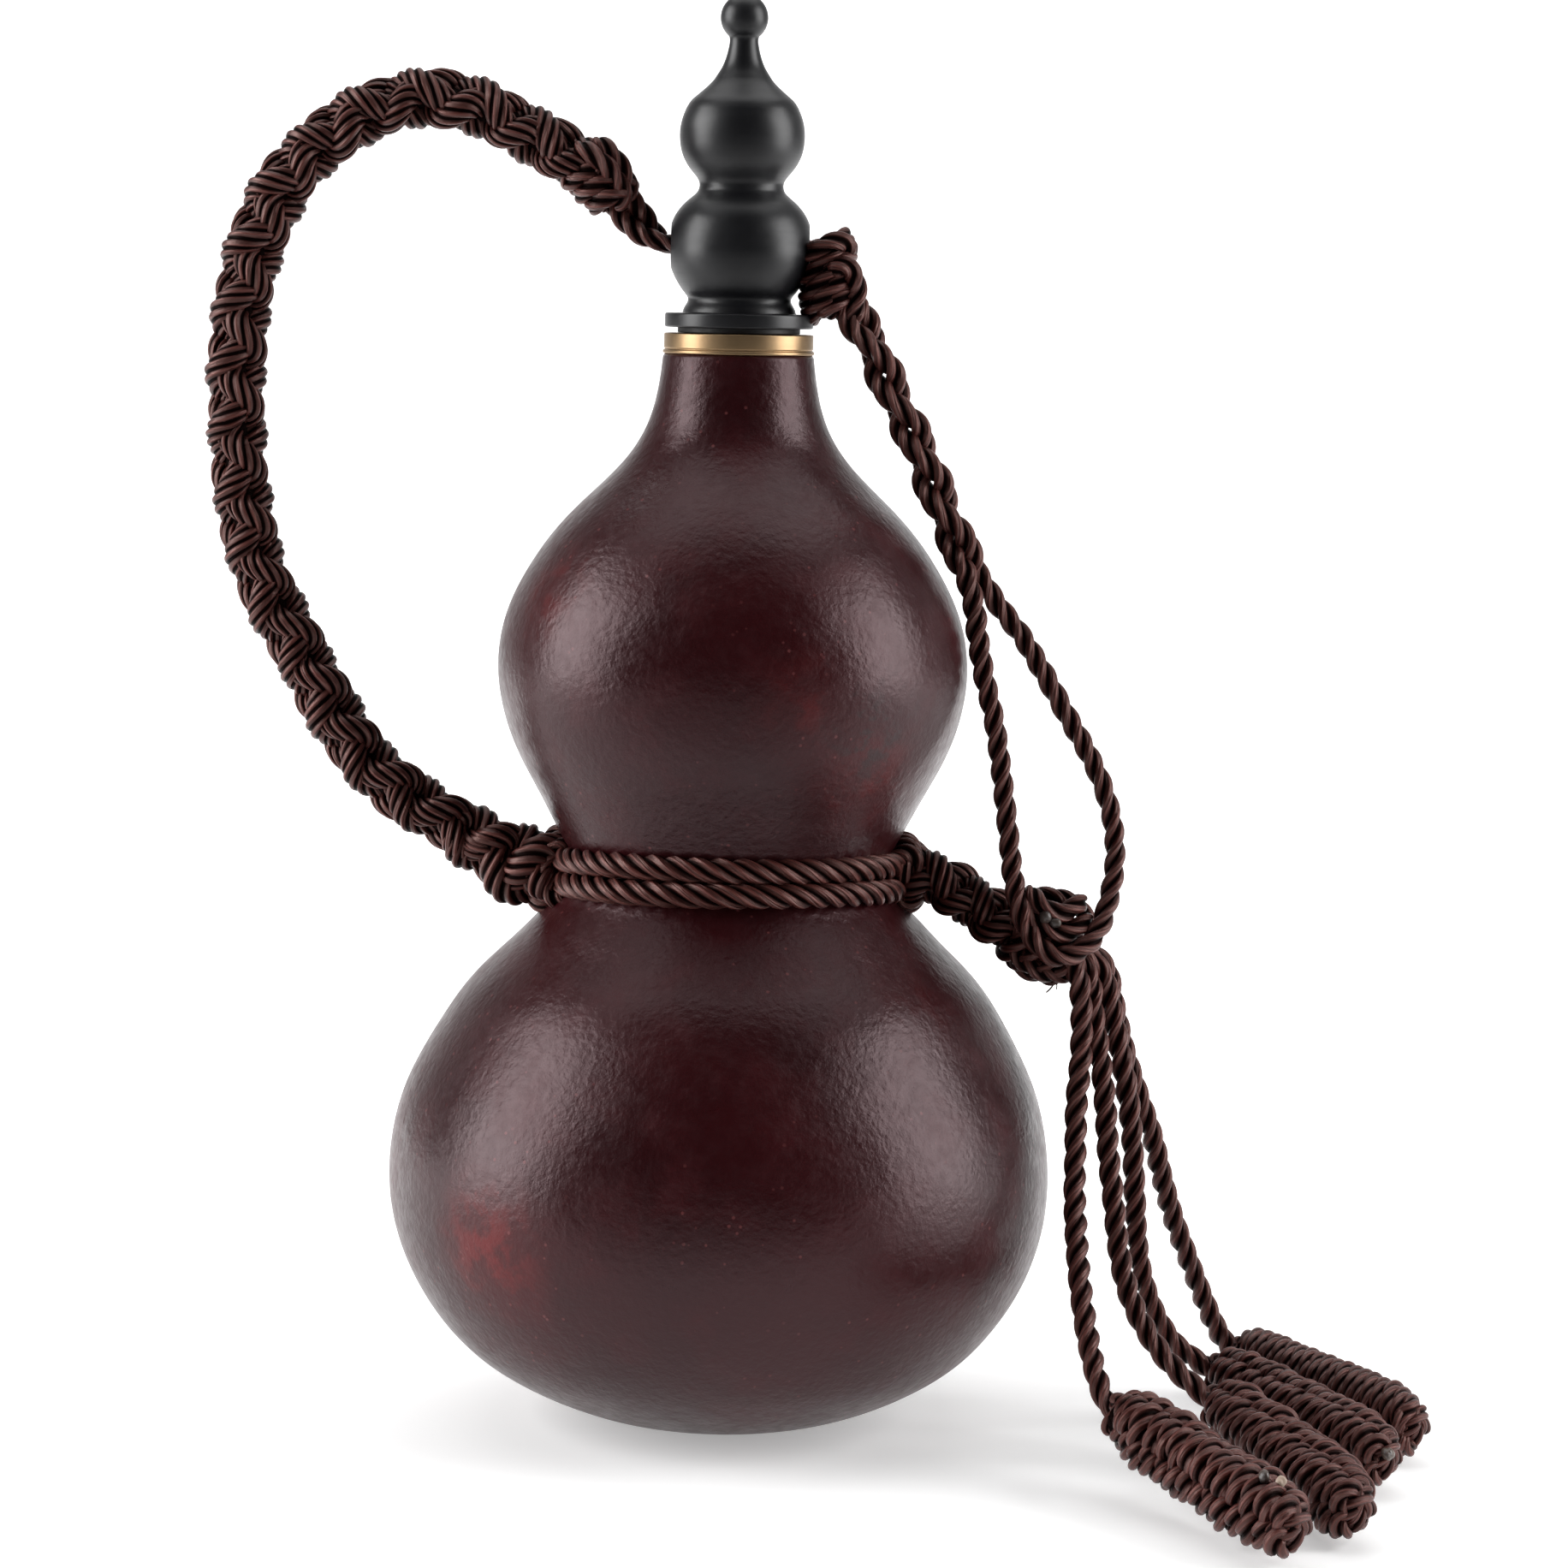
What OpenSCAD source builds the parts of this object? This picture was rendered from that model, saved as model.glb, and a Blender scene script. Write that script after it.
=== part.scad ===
/* [Gourd] */
// Thickness of the dried gourd wall
wall = 4; // [3:0.5:4.5]
// Thickness of the wax lining on the inside of the wall
wax_t = 0.5; // [0.3:0.1:1]
// Thickness of the floor at the flat base
floor_t = 4; // [3:0.5:6]

/* [Mouth] */
// Radius of the stopper bore in the mouth bush
bore_r = 8; // [6.5:0.25:8.5]
// Outer radius of the mouth bush
bush_r = 10.05; // [9.8:0.05:10.3]
// Length of the mouth bush down into the neck
bush_len = 21; // [16:1:24]
// Height of the brass collar ring
ring_h = 3.8; // [2:0.2:4.4]
// Outer radius of the brass collar ring
ring_r = 13.9; // [12:0.1:15]

/* [Stopper] */
// Radius of the flange that rests over the mouth
flange_r = 13.8; // [12:0.1:14]
// Radius of the lower ball
ball_r = 13.5; // [13:0.1:13.6]
// Radius of the upper ball
bulb_r = 11.6; // [11:0.1:12]
// Radius of the small ball on top
finial_r = 4.4; // [3:0.1:4.8]
// Radius of the cross hole through the lower ball
cross_r = 4.2; // [4:0.1:5]
// Length of the plug below the flange
plug_len = 20; // [14:1:22]
// Play between the seal rings and the bore
seal_play = 0.05; // [0.02:0.01:0.1]

/* [Cords] */
// Diameter of the twisted cord
cord_d = 3.7; // [3:0.1:3.8]
// Diameter of the cord wound round the waist
band_d = 4.6; // [4:0.1:4.8]
// Diameter of the braided handle
braid_d = 10.8; // [9:0.2:11]
// Diameter of the short braid at the other side
tail_d = 10.2; // [8:0.2:10.6]
// Tilt of the cords round the waist, higher at the front, in degrees
band_tilt = 4; // [0:0.5:5]

/* [Tassels] */
// Diameter of each knotted tassel
tassel_d = 13.2; // [10:0.2:13.4]

/* [Hidden] */

lacquer = [0.23, 0.12, 0.13];
cord_colour = [0.24, 0.14, 0.13];
black = [0.12, 0.12, 0.13];

// Heights above the base
mouth_z = 200.7;                 // top of the gourd's neck
ring_top = mouth_z + ring_h;     // top of the brass ring
seat_gap = 0.1;                  // the gasket rests this far over the ring
flange_z = ring_top + 1.1;       // underside of the flange
ball_z = 220.6;
bulb_z = 240.9;
finial_z = 262.6;
cross_z = 220.6;
band_z = 103.4;                  // middle of the two waist cords
waist_r = 29.2;

// Outside of the gourd: radius and height
outline = [[17, 0], [21, 0.5], [26, 1.7], [31, 3.5], [36, 5.7], [41, 8.4], [45.6, 11.4], [49.4, 14.8],
    [52.6, 18.6], [55.7, 23], [58.5, 28.3], [60.8, 34.5], [62.1, 41], [62.3, 48], [61.4, 55.5],
    [59.4, 62.8], [56.2, 69.5], [52.8, 75.5], [49.4, 81], [45, 86], [39.4, 91.2], [35.6, 95.6],
    [31.2, 99.4], [waist_r, 103.5], [30, 107.5], [32.7, 112], [35.4, 117.6], [39.1, 124],
    [42, 130.4], [43.7, 137], [44.3, 142.5], [43.6, 149], [41.9, 154.5], [39, 160], [35.1, 166],
    [30.6, 171.2], [25.7, 175.8], [21.4, 180], [18, 184.5], [16, 189], [14.7, 194.5], [14, mouth_z]];

// Routes of the cords, as points that the middle of each cord follows
handle_route = [[-36.4, 0, 103.8], [-40.5, 0, 105], [-46.5, 0, 108.1], [-54.3, 0, 112.6], [-63.2, 0, 118.4],
    [-70.6, 0, 125.6], [-77.2, 0, 136.4], [-83.2, 0, 147.5], [-88.6, 0, 157.6], [-91.4, 0, 168.5],
    [-93, 0, 179.8], [-93.5, 0, 191], [-93, 0, 202], [-91.6, 0, 212.6], [-88, 0, 224.6],
    [-82.6, 0, 233.6], [-74.8, 0, 240.8], [-66, 0, 245.4], [-58, 0, 247], [-50, 0, 245.6],
    [-42, 0, 242], [-34, 0, 237.6], [-28, 0, 234]];
handle_end_route = [[-25, 0, 231.5], [-21.5, 0, 227.6], [-18.6, 0, 224.2], [-15.7, 0, 221.8]];
tail_route = [[34.6, -2.6, 104.2], [38, -3.4, 103.6], [42, -4.4, 102], [46, -5.4, 99.4], [50.5, -6.4, 96.8],
    [55.5, -7.4, 94.6]];
tether_route = [[21, -4.8, 205.6], [24.2, -5.4, 199], [28, -6.2, 192], [32, -7, 185], [35.4, -7.8, 178],
    [38.6, -8.2, 171], [41.2, -8.2, 164], [43.6, -8.2, 156.6], [45.4, -8.2, 149.4], [46.8, -8.2, 142],
    [48.7, -8.4, 134.6], [50, -8.8, 127], [51.1, -9.2, 119.2], [52.1, -9.8, 111.6], [53.2, -11.2, 103.6],
    [55.8, -13.6, 95.4], [60.2, -15.4, 91], [65.2, -14.4, 91.6], [69, -11.6, 95.2], [71, -9.4, 101],
    [72, -8.2, 107.4], [71.6, -7.4, 114.4], [69.6, -6.8, 121.6], [66.6, -6, 128], [62.8, -5.2, 134.4],
    [58.8, -4.4, 141.4], [54.4, -3.6, 148.6], [50, -3, 155], [46, -2.8, 161], [42.4, -2.8, 167],
    [39.4, -2.8, 173], [37, -2.6, 179], [34.8, -2.4, 185], [32.2, -2, 191.4], [29.4, -1.8, 197.4],
    [26.8, -1.4, 202.6], [25, -1.2, 206]];
tassel_routes = [
    [[65.4, -12.6, 87], [66.2, -13, 80], [66.2, -15, 72], [65.4, -18, 64], [65.2, -21.6, 56],
        [65, -25.4, 48.6], [65.2, -31, 41], [65.8, -37, 33], [67, -43, 25], [68.6, -48, 18.6], [70.4, -51, 15]],
    [[67.6, -9.4, 87], [68.6, -10.2, 80], [70, -12.2, 71.6], [71, -14.6, 63], [71.6, -17, 54.6],
        [72.6, -20, 46], [73.6, -22.8, 37.4], [75.4, -25.6, 30], [78.8, -28.6, 23.2], [83.6, -31.2, 17.4], [89.6, -33.4, 12.6]],
    [[70, -6.2, 87.4], [72.2, -6.4, 80], [74.2, -7.4, 71], [75.8, -8, 62.6], [76.8, -8.2, 54],
        [77.4, -8.2, 45.4], [78, -7.6, 37], [79.4, -6.6, 29], [82.2, -5.2, 21.4], [86.6, -3.4, 14.8], [92.8, -1.2, 10.4]],
    [[70.8, -2.4, 88], [73, -2.2, 80], [75.2, -0.8, 71.4], [78.2, 1.2, 62.6], [81.4, 3.8, 54],
        [83.6, 6.4, 45.8], [86.2, 9.6, 37.4], [89.4, 12.6, 29.2], [93, 15.8, 20.4], [96.2, 18.2, 13.4], [99.2, 19.6, 9]]];
// Where each tassel starts and ends
tassel_ends = [[[71, -52, 14.4], [99.2, -104.4, 7]], [[90.6, -34, 12], [111.2, -91.4, 7]],
    [[93.7, -1.4, 10], [121, -56, 7]], [[100, 19.6, 8.4], [129.4, -33.4, 7]]];

function unit(v) = v / norm(v);
// Smooth curve through the points p, with k steps between two of them
function smooth(p, k) = let (n = len(p)) concat(
    [for (i = [0 : n - 2], j = [0 : k - 1]) let (t = j / k,
        a = p[max(i - 1, 0)], b = p[i], c = p[i + 1], d = p[min(i + 2, n - 1)])
        0.5 * (2 * b + (c - a) * t + (2 * a - 5 * b + 4 * c - d) * t * t + (3 * b - a - 3 * c + d) * t * t * t)],
    [p[n - 1]]);
function heading(p, i) = unit(p[min(i + 1, len(p) - 1)] - p[max(i - 1, 0)]);
// Line p moved inwards by w, square to itself
function inset(p, w) = [for (i = [0 : len(p) - 1]) let (h = heading(p, i)) p[i] + w * [-h[1], h[0]]];

gourd_line = smooth(outline, 3);
inner_line = [for (q = inset(gourd_line, wall)) if (q[1] > floor_t + 0.4 && q[0] > 4 && q[1] < mouth_z - 6) q];
waxed_line = [for (q = inset(gourd_line, wall + wax_t)) if (q[1] > floor_t + 0.4 + wax_t && q[0] > 4 && q[1] < mouth_z - bush_len - 1) q];
function backwards(p) = [for (i = [len(p) - 1 : -1 : 0]) p[i]];

// Tube of n sides round the points of the line p
module tube(p, r, n = 8) {
    m = len(p);
    ring = [for (i = [0 : m - 1]) let (t = heading(p, i), s = unit(cross(t, [0.02, 1, 0.05])), u = cross(s, t))
        for (j = [0 : n - 1]) p[i] + r * (cos(360 * j / n) * s + sin(360 * j / n) * u)];
    polyhedron(ring, concat(
        [[for (j = [0 : n - 1]) n - 1 - j]],
        [for (i = [0 : m - 2], j = [0 : n - 1]) [i * n + j, i * n + (j + 1) % n, (i + 1) * n + (j + 1) % n]],
        [for (i = [0 : m - 2], j = [0 : n - 1]) [i * n + j, (i + 1) * n + (j + 1) % n, (i + 1) * n + j]],
        [[for (j = [0 : n - 1]) (m - 1) * n + j]]));
}

module gourd_shell() {
    color(lacquer)
    difference() {
        rotate_extrude($fn = 96)
            polygon(concat([[0, 0]], gourd_line, [[0, mouth_z]]));
        rotate_extrude($fn = 96)
            polygon(concat([[0, floor_t]], [[inner_line[0][0] - 3, floor_t]], inner_line, [[0, mouth_z - 6]]));
        translate([0, 0, mouth_z - bush_len]) cylinder(r = bush_r, h = bush_len + 1, $fn = 96);
    }
}

module wax_lining() {
    color([0.62, 0.5, 0.3])
    rotate_extrude($fn = 96)
        polygon(concat(
            [[0, floor_t]], [[inner_line[0][0] - 3, floor_t]],
            [for (q = inner_line) if (q[1] < mouth_z - bush_len - 1) q],
            backwards(waxed_line),
            [[waxed_line[0][0] - 3, floor_t + wax_t], [0, floor_t + wax_t]]));
}

module mouth_bush() {
    color([0.2, 0.19, 0.18])
    translate([0, 0, mouth_z - bush_len])
    difference() {
        cylinder(r = bush_r, h = bush_len, $fn = 96);
        translate([0, 0, -1]) cylinder(r = bore_r, h = bush_len + 2, $fn = 96);
    }
}

module brass_ring() {
    r = ring_r;
    color([0.8, 0.63, 0.36])
    translate([0, 0, mouth_z])
    rotate_extrude($fn = 96)
        polygon([[bore_r + 0.6, 0], [r - 0.5, 0], [r + 0.1, 0.25], [r + 0.1, 0.6], [r - 0.15, 0.85],
            [r, 1], [r, ring_h - 0.3], [r - 0.3, ring_h], [bore_r + 0.9, ring_h], [bore_r + 0.6, ring_h - 0.3]]);
}

module stopper_body() {
    z0 = flange_z;
    ball = [for (a = [-43 : 7.1 : 28]) [ball_r * cos(a), ball_z + ball_r * sin(a)]];
    bulb = [for (a = [-24 : 6 : 24]) [bulb_r * cos(a), bulb_z + bulb_r * sin(a)]];
    top = [for (a = [-50 : 10 : 80]) [finial_r * cos(a), finial_z + finial_r * sin(a)]];
    color(black)
    difference() {
        rotate_extrude($fn = 96)
            polygon(concat(
                [[0, z0], [flange_r - 0.2, z0], [flange_r, z0 + 0.2], [flange_r, z0 + 2.2], [flange_r - 0.3, z0 + 2.6],
                 [11.2, z0 + 2.7], [10.3, z0 + 3.4], [9.8, 210.2], [9.65, 210.8]],
                ball,
                [[10.9, 228], [9.7, 229.3], [8.5, 230.3], [8, 231.1], [7.85, 232], [8, 232.9], [8.6, 233.8], [9.5, 234.8]],
                bulb,
                [[9.9, 246.8], [9.3, 247.6], [8.6, 248.2], [7.6, 249], [6.7, 249.9], [5.8, 250.9], [4.9, 252.1],
                 [4.1, 253.3], [3.5, 254.7], [3, 256.2], [2.7, 257.5], [2.6, 258.5]],
                top, [[0, finial_z + finial_r]]));
        translate([-20, 0, cross_z]) rotate([0, 90, 0]) cylinder(r = cross_r, h = 40, $fn = 64);
        translate([0, 0, z0 - 1]) cylinder(r = 5, h = 7, $fn = 64);
    }
}

module o_ring_place(z) {
    translate([0, 0, z]) rotate_extrude($fn = 72)
        translate([bore_r - seal_play - 0.8, 0]) circle(r = 0.8, $fn = 24);
}

module stopper_plug() {
    top = flange_z;
    low = flange_z - 1 - plug_len;
    color([0.14, 0.13, 0.13])
    difference() {
        union() {
            translate([0, 0, low]) cylinder(r = bore_r - 0.4, h = top - low, $fn = 96);
            translate([0, 0, top]) cylinder(r = 5, h = 5.6, $fn = 64);
        }
        o_ring_place(low + 5);
        o_ring_place(low + 13);
        rotate_extrude($fn = 96) polygon([[bore_r - 1.6, low - 0.01], [bore_r + 1, low - 0.01], [bore_r + 1, low + 2]]);
    }
}

module stopper_gasket() {
    color([0.06, 0.06, 0.06])
    translate([0, 0, ring_top + seat_gap])
    difference() {
        cylinder(r = 11.4, h = flange_z - ring_top - seat_gap, $fn = 96);
        translate([0, 0, -1]) cylinder(r = bore_r - 0.4, h = 4, $fn = 96);
    }
}

module o_ring_lower() { color([0.05, 0.05, 0.05]) o_ring_place(flange_z - 1 - plug_len + 5); }
module o_ring_upper() { color([0.05, 0.05, 0.05]) o_ring_place(flange_z - 1 - plug_len + 13); }

module hole_cord(side) {
    color(cord_colour)
    tube([[-13.2, side * 1.95, cross_z], [-4, side * 1.95, cross_z], [5, side * 1.95, cross_z],
        [13.4, side * 1.95, cross_z - 0.1]], cord_d / 2);
}
module stopper_cord_front() { hole_cord(-1); }
module stopper_cord_rear() { hole_cord(1); }

// Turned lump of radius r from a to b, round at both ends, for a knot
module lump(a, b, r) {
    d = b - a;
    len = norm(d);
    translate(a) rotate([0, acos(d[2] / len), atan2(d[1], d[0])])
        rotate_extrude($fn = 48)
            polygon(concat([for (t = [-90 : 15 : 0]) [r * cos(t), r * sin(t)]],
                [for (t = [0 : 15 : 90]) [r * cos(t), len + r * sin(t)]]));
}

module stopper_knot() {
    color(cord_colour)
    difference() {
        lump([17.4, 0, 218.8], [18.6, -0.4, 213.6], 5.4);
        translate([0, 0, ball_z - 20]) cylinder(r = ball_r + 0.1, h = 40, $fn = 96);
    }
}

module handle_braid() { color(cord_colour) tube(smooth(handle_route, 2), braid_d / 2, 12); }
module handle_top_knot() {
    color(cord_colour)
    lump([-26.6, 0, 232.8], [-24.6, 0, 231], 6);
}
module handle_end(side) {
    color(cord_colour)
    tube(smooth([for (q = handle_end_route) q + [0, side * 1.95, 0]], 1), cord_d / 2);
}
module handle_cord_front() { handle_end(-1); }
module handle_cord_rear() { handle_end(1); }

module band(dz) {
    color(cord_colour)
    translate([0, 0, band_z]) rotate([-band_tilt, 0, 0]) translate([0, 0, dz])
        rotate_extrude($fn = 96) translate([waist_r + band_d / 2, 0]) circle(r = band_d / 2, $fn = 32);
}
module waist_cord_upper() { band(band_d / 2); }
module waist_cord_lower() { band(-band_d / 2); }
module waist_knot() {
    color(cord_colour)
    lump([-36.8, -0.4, 107], [-38, -0.4, 99.6], 5.2);
}

module tail_braid() { color(cord_colour) tube(smooth(tail_route, 2), tail_d / 2, 12); }
module tail_knot() {
    color(cord_colour)
    lump([58.6, -8, 92.9], [63.2, -8, 91.2], 6.6);
}
module tether_cord() { color(cord_colour) tube(tether_route, cord_d / 2); }

module tassel_cord(i) { color(cord_colour) tube(tassel_routes[i], cord_d / 2); }
module tassel_cord_1() { tassel_cord(0); }
module tassel_cord_2() { tassel_cord(1); }
module tassel_cord_3() { tassel_cord(2); }
module tassel_cord_4() { tassel_cord(3); }

// A round knotted column from a to b
module tassel(i) {
    a = tassel_ends[i][0];
    b = tassel_ends[i][1];
    d = b - a;
    len = norm(d);
    r = tassel_d / 2;
    color(cord_colour)
    translate(a) rotate([0, acos(d[2] / len), atan2(d[1], d[0])])
        rotate_extrude($fn = 48)
            polygon([[0, 0], [r - 2.4, 0], [r - 0.7, 0.9], [r, 2.6], [r, len - 2.6], [r - 0.7, len - 0.9], [r - 2.4, len], [0, len]]);
}
module tassel_1() { tassel(0); }
module tassel_2() { tassel(1); }
module tassel_3() { tassel(2); }
module tassel_4() { tassel(3); }

gourd_shell();
wax_lining();
mouth_bush();
brass_ring();
stopper_body();
stopper_plug();
stopper_gasket();
o_ring_upper();
o_ring_lower();
stopper_cord_front();
stopper_cord_rear();
stopper_knot();
handle_braid();
handle_top_knot();
handle_cord_front();
handle_cord_rear();
waist_cord_upper();
waist_cord_lower();
waist_knot();
tail_braid();
tail_knot();
tether_cord();
tassel_cord_1();
tassel_cord_2();
tassel_cord_3();
tassel_cord_4();
tassel_1();
tassel_2();
tassel_3();
tassel_4();
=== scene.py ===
import math

import bpy
import numpy as np
from mathutils import Matrix, Vector


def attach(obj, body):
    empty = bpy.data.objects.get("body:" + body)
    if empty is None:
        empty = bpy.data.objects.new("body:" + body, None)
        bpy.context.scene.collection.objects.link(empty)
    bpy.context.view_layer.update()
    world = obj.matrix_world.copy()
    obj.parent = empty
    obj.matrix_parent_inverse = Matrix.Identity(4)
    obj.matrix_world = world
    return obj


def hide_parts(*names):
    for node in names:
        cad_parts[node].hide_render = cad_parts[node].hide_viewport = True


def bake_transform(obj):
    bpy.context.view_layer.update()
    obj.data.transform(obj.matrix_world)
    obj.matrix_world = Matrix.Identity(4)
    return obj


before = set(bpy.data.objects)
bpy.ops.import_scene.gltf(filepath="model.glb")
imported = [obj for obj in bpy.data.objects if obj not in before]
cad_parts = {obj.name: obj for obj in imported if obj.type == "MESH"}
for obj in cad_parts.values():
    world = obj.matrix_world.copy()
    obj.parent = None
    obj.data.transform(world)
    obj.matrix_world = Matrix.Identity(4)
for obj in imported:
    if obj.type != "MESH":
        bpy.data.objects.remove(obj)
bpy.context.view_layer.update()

STEP = 0.36  # mm between rings of a cord
TAU = 2 * math.pi


# ---------------------------------------------------------------- camera
def make_camera():
    pitch, roll = math.radians(6.35), math.radians(1.1)
    ahead = Vector((0, math.cos(pitch), -math.sin(pitch)))
    rt = Vector((1, 0, 0))
    up = Vector((0, math.sin(pitch), math.cos(pitch)))
    right = math.cos(roll) * rt + math.sin(roll) * up
    top = -math.sin(roll) * rt + math.cos(roll) * up
    m = Matrix((right, top, -ahead)).transposed().to_4x4()
    m.translation = Vector((0.010, -0.850, 0.215))
    data = bpy.data.cameras.new("camera")
    data.sensor_width = 36
    data.lens = 36 * 5312.5 / 1832
    data.clip_start, data.clip_end = 0.01, 20
    ob = bpy.data.objects.new("camera", data)
    bpy.context.scene.collection.objects.link(ob)
    ob.matrix_world = m
    bpy.context.scene.camera = ob


make_camera()


# ---------------------------------------------------------------- lines
def unit(v):
    return v / np.maximum(np.linalg.norm(v, axis=-1, keepdims=True), 1e-12)


def dense(points, step=STEP, smooth=0, closed=False):
    """A smooth line through the points, in mm, with a point every step mm."""
    p = np.array(points, float)
    n = len(p)
    k = 24
    out = []
    t = np.arange(k)[:, None] / k
    for i in range(n if closed else n - 1):
        if closed:
            a, b, c, d = (p[(i + j) % n] for j in (-1, 0, 1, 2))
        else:
            a, b, c, d = p[max(i - 1, 0)], p[i], p[i + 1], p[min(i + 2, n - 1)]
            if i == 0:
                a = 2 * b - c
            if i == n - 2:
                d = 2 * c - b
        out.append(
            0.5
            * (
                2 * b
                + (c - a) * t
                + (2 * a - 5 * b + 4 * c - d) * t**2
                + (3 * b - a - 3 * c + d) * t**3
            )
        )
    q = np.concatenate(out + [p[:1] if closed else p[-1:]])
    q = even(q, step)
    for _ in range(smooth):
        q[1:-1] = 0.25 * q[:-2] + 0.5 * q[1:-1] + 0.25 * q[2:]
    return q


def even(q, step):
    s = np.concatenate([[0], np.cumsum(np.linalg.norm(np.diff(q, axis=0), axis=1))])
    at = np.linspace(0, s[-1], max(4, int(round(s[-1] / step)) + 1))
    return np.stack([np.interp(at, s, q[:, i]) for i in range(3)], 1)


def lengths(q):
    return np.concatenate([[0], np.cumsum(np.linalg.norm(np.diff(q, axis=0), axis=1))])


def frames(q, first=(0.03, 1, 0.06)):
    """Tangent, normal and side vector at each point, turning as little as they can."""
    t = unit(np.gradient(q, axis=0))
    n = np.zeros_like(q)
    ref = np.array(first, float)
    if abs(t[0] @ unit(ref)) > 0.92:
        ref = np.array([1.0, 0.1, 0.05])
    n[0] = unit(ref - (ref @ t[0]) * t[0])
    for i in range(1, len(q)):
        v = n[i - 1] - (n[i - 1] @ t[i]) * t[i]
        n[i] = v / max(np.linalg.norm(v), 1e-12)
    return t, n, np.cross(t, n)


# ---------------------------------------------------------------- mesh building
class Made:
    """Collects rings and faces, then makes one object. ply holds (cos, sin, mm along) round the cord; deep is 1 on a
    ply and 0 in a groove, and the cord colour is painted darker where it is low, as shade.
    """

    def __init__(self):
        self.v, self.q, self.t, self.ply, self.deep, self.n = [], [], [], [], [], 0

    def add(self, v, quads, tris, ply, deep):
        self.v.append(v)
        if len(quads):
            self.q.append(quads + self.n)
        if len(tris):
            self.t.append(tris + self.n)
        self.ply.append(ply)
        self.deep.append(deep)
        self.n += len(v)

    def make(self, name, material, smooth=True):
        v = np.concatenate(self.v) * 0.001
        q = np.concatenate(self.q) if self.q else np.zeros((0, 4), int)
        t = np.concatenate(self.t) if self.t else np.zeros((0, 3), int)
        me = bpy.data.meshes.new(name)
        me.vertices.add(len(v))
        me.vertices.foreach_set("co", v.astype(np.float32).ravel())
        me.loops.add(4 * len(q) + 3 * len(t))
        me.loops.foreach_set("vertex_index", np.concatenate([q.ravel(), t.ravel()]).astype(np.int32))
        me.polygons.add(len(q) + len(t))
        me.polygons.foreach_set(
            "loop_start",
            np.concatenate([4 * np.arange(len(q)), 4 * len(q) + 3 * np.arange(len(t))]).astype(np.int32),
        )
        me.update(calc_edges=True)
        a = me.attributes.new("ply", "FLOAT_VECTOR", "POINT")
        a.data.foreach_set("vector", np.concatenate(self.ply).astype(np.float32).ravel())
        a = me.attributes.new("deep", "FLOAT", "POINT")
        a.data.foreach_set("value", np.concatenate(self.deep).astype(np.float32))
        me.polygons.foreach_set("use_smooth", np.full(len(me.polygons), smooth))
        me.materials.append(material)
        me.validate()
        ob = bpy.data.objects.new(name, me)
        bpy.context.scene.collection.objects.link(ob)
        return ob


def ring_faces(rings, sides, closed):
    i = np.arange(rings if closed else rings - 1)[:, None]
    j = np.arange(sides)[None, :]
    a = i * sides + j
    b = i * sides + (j + 1) % sides
    k = (i + 1) % rings
    return np.stack([a, b, k * sides + (j + 1) % sides, k * sides + j], -1).reshape(-1, 4)


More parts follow.
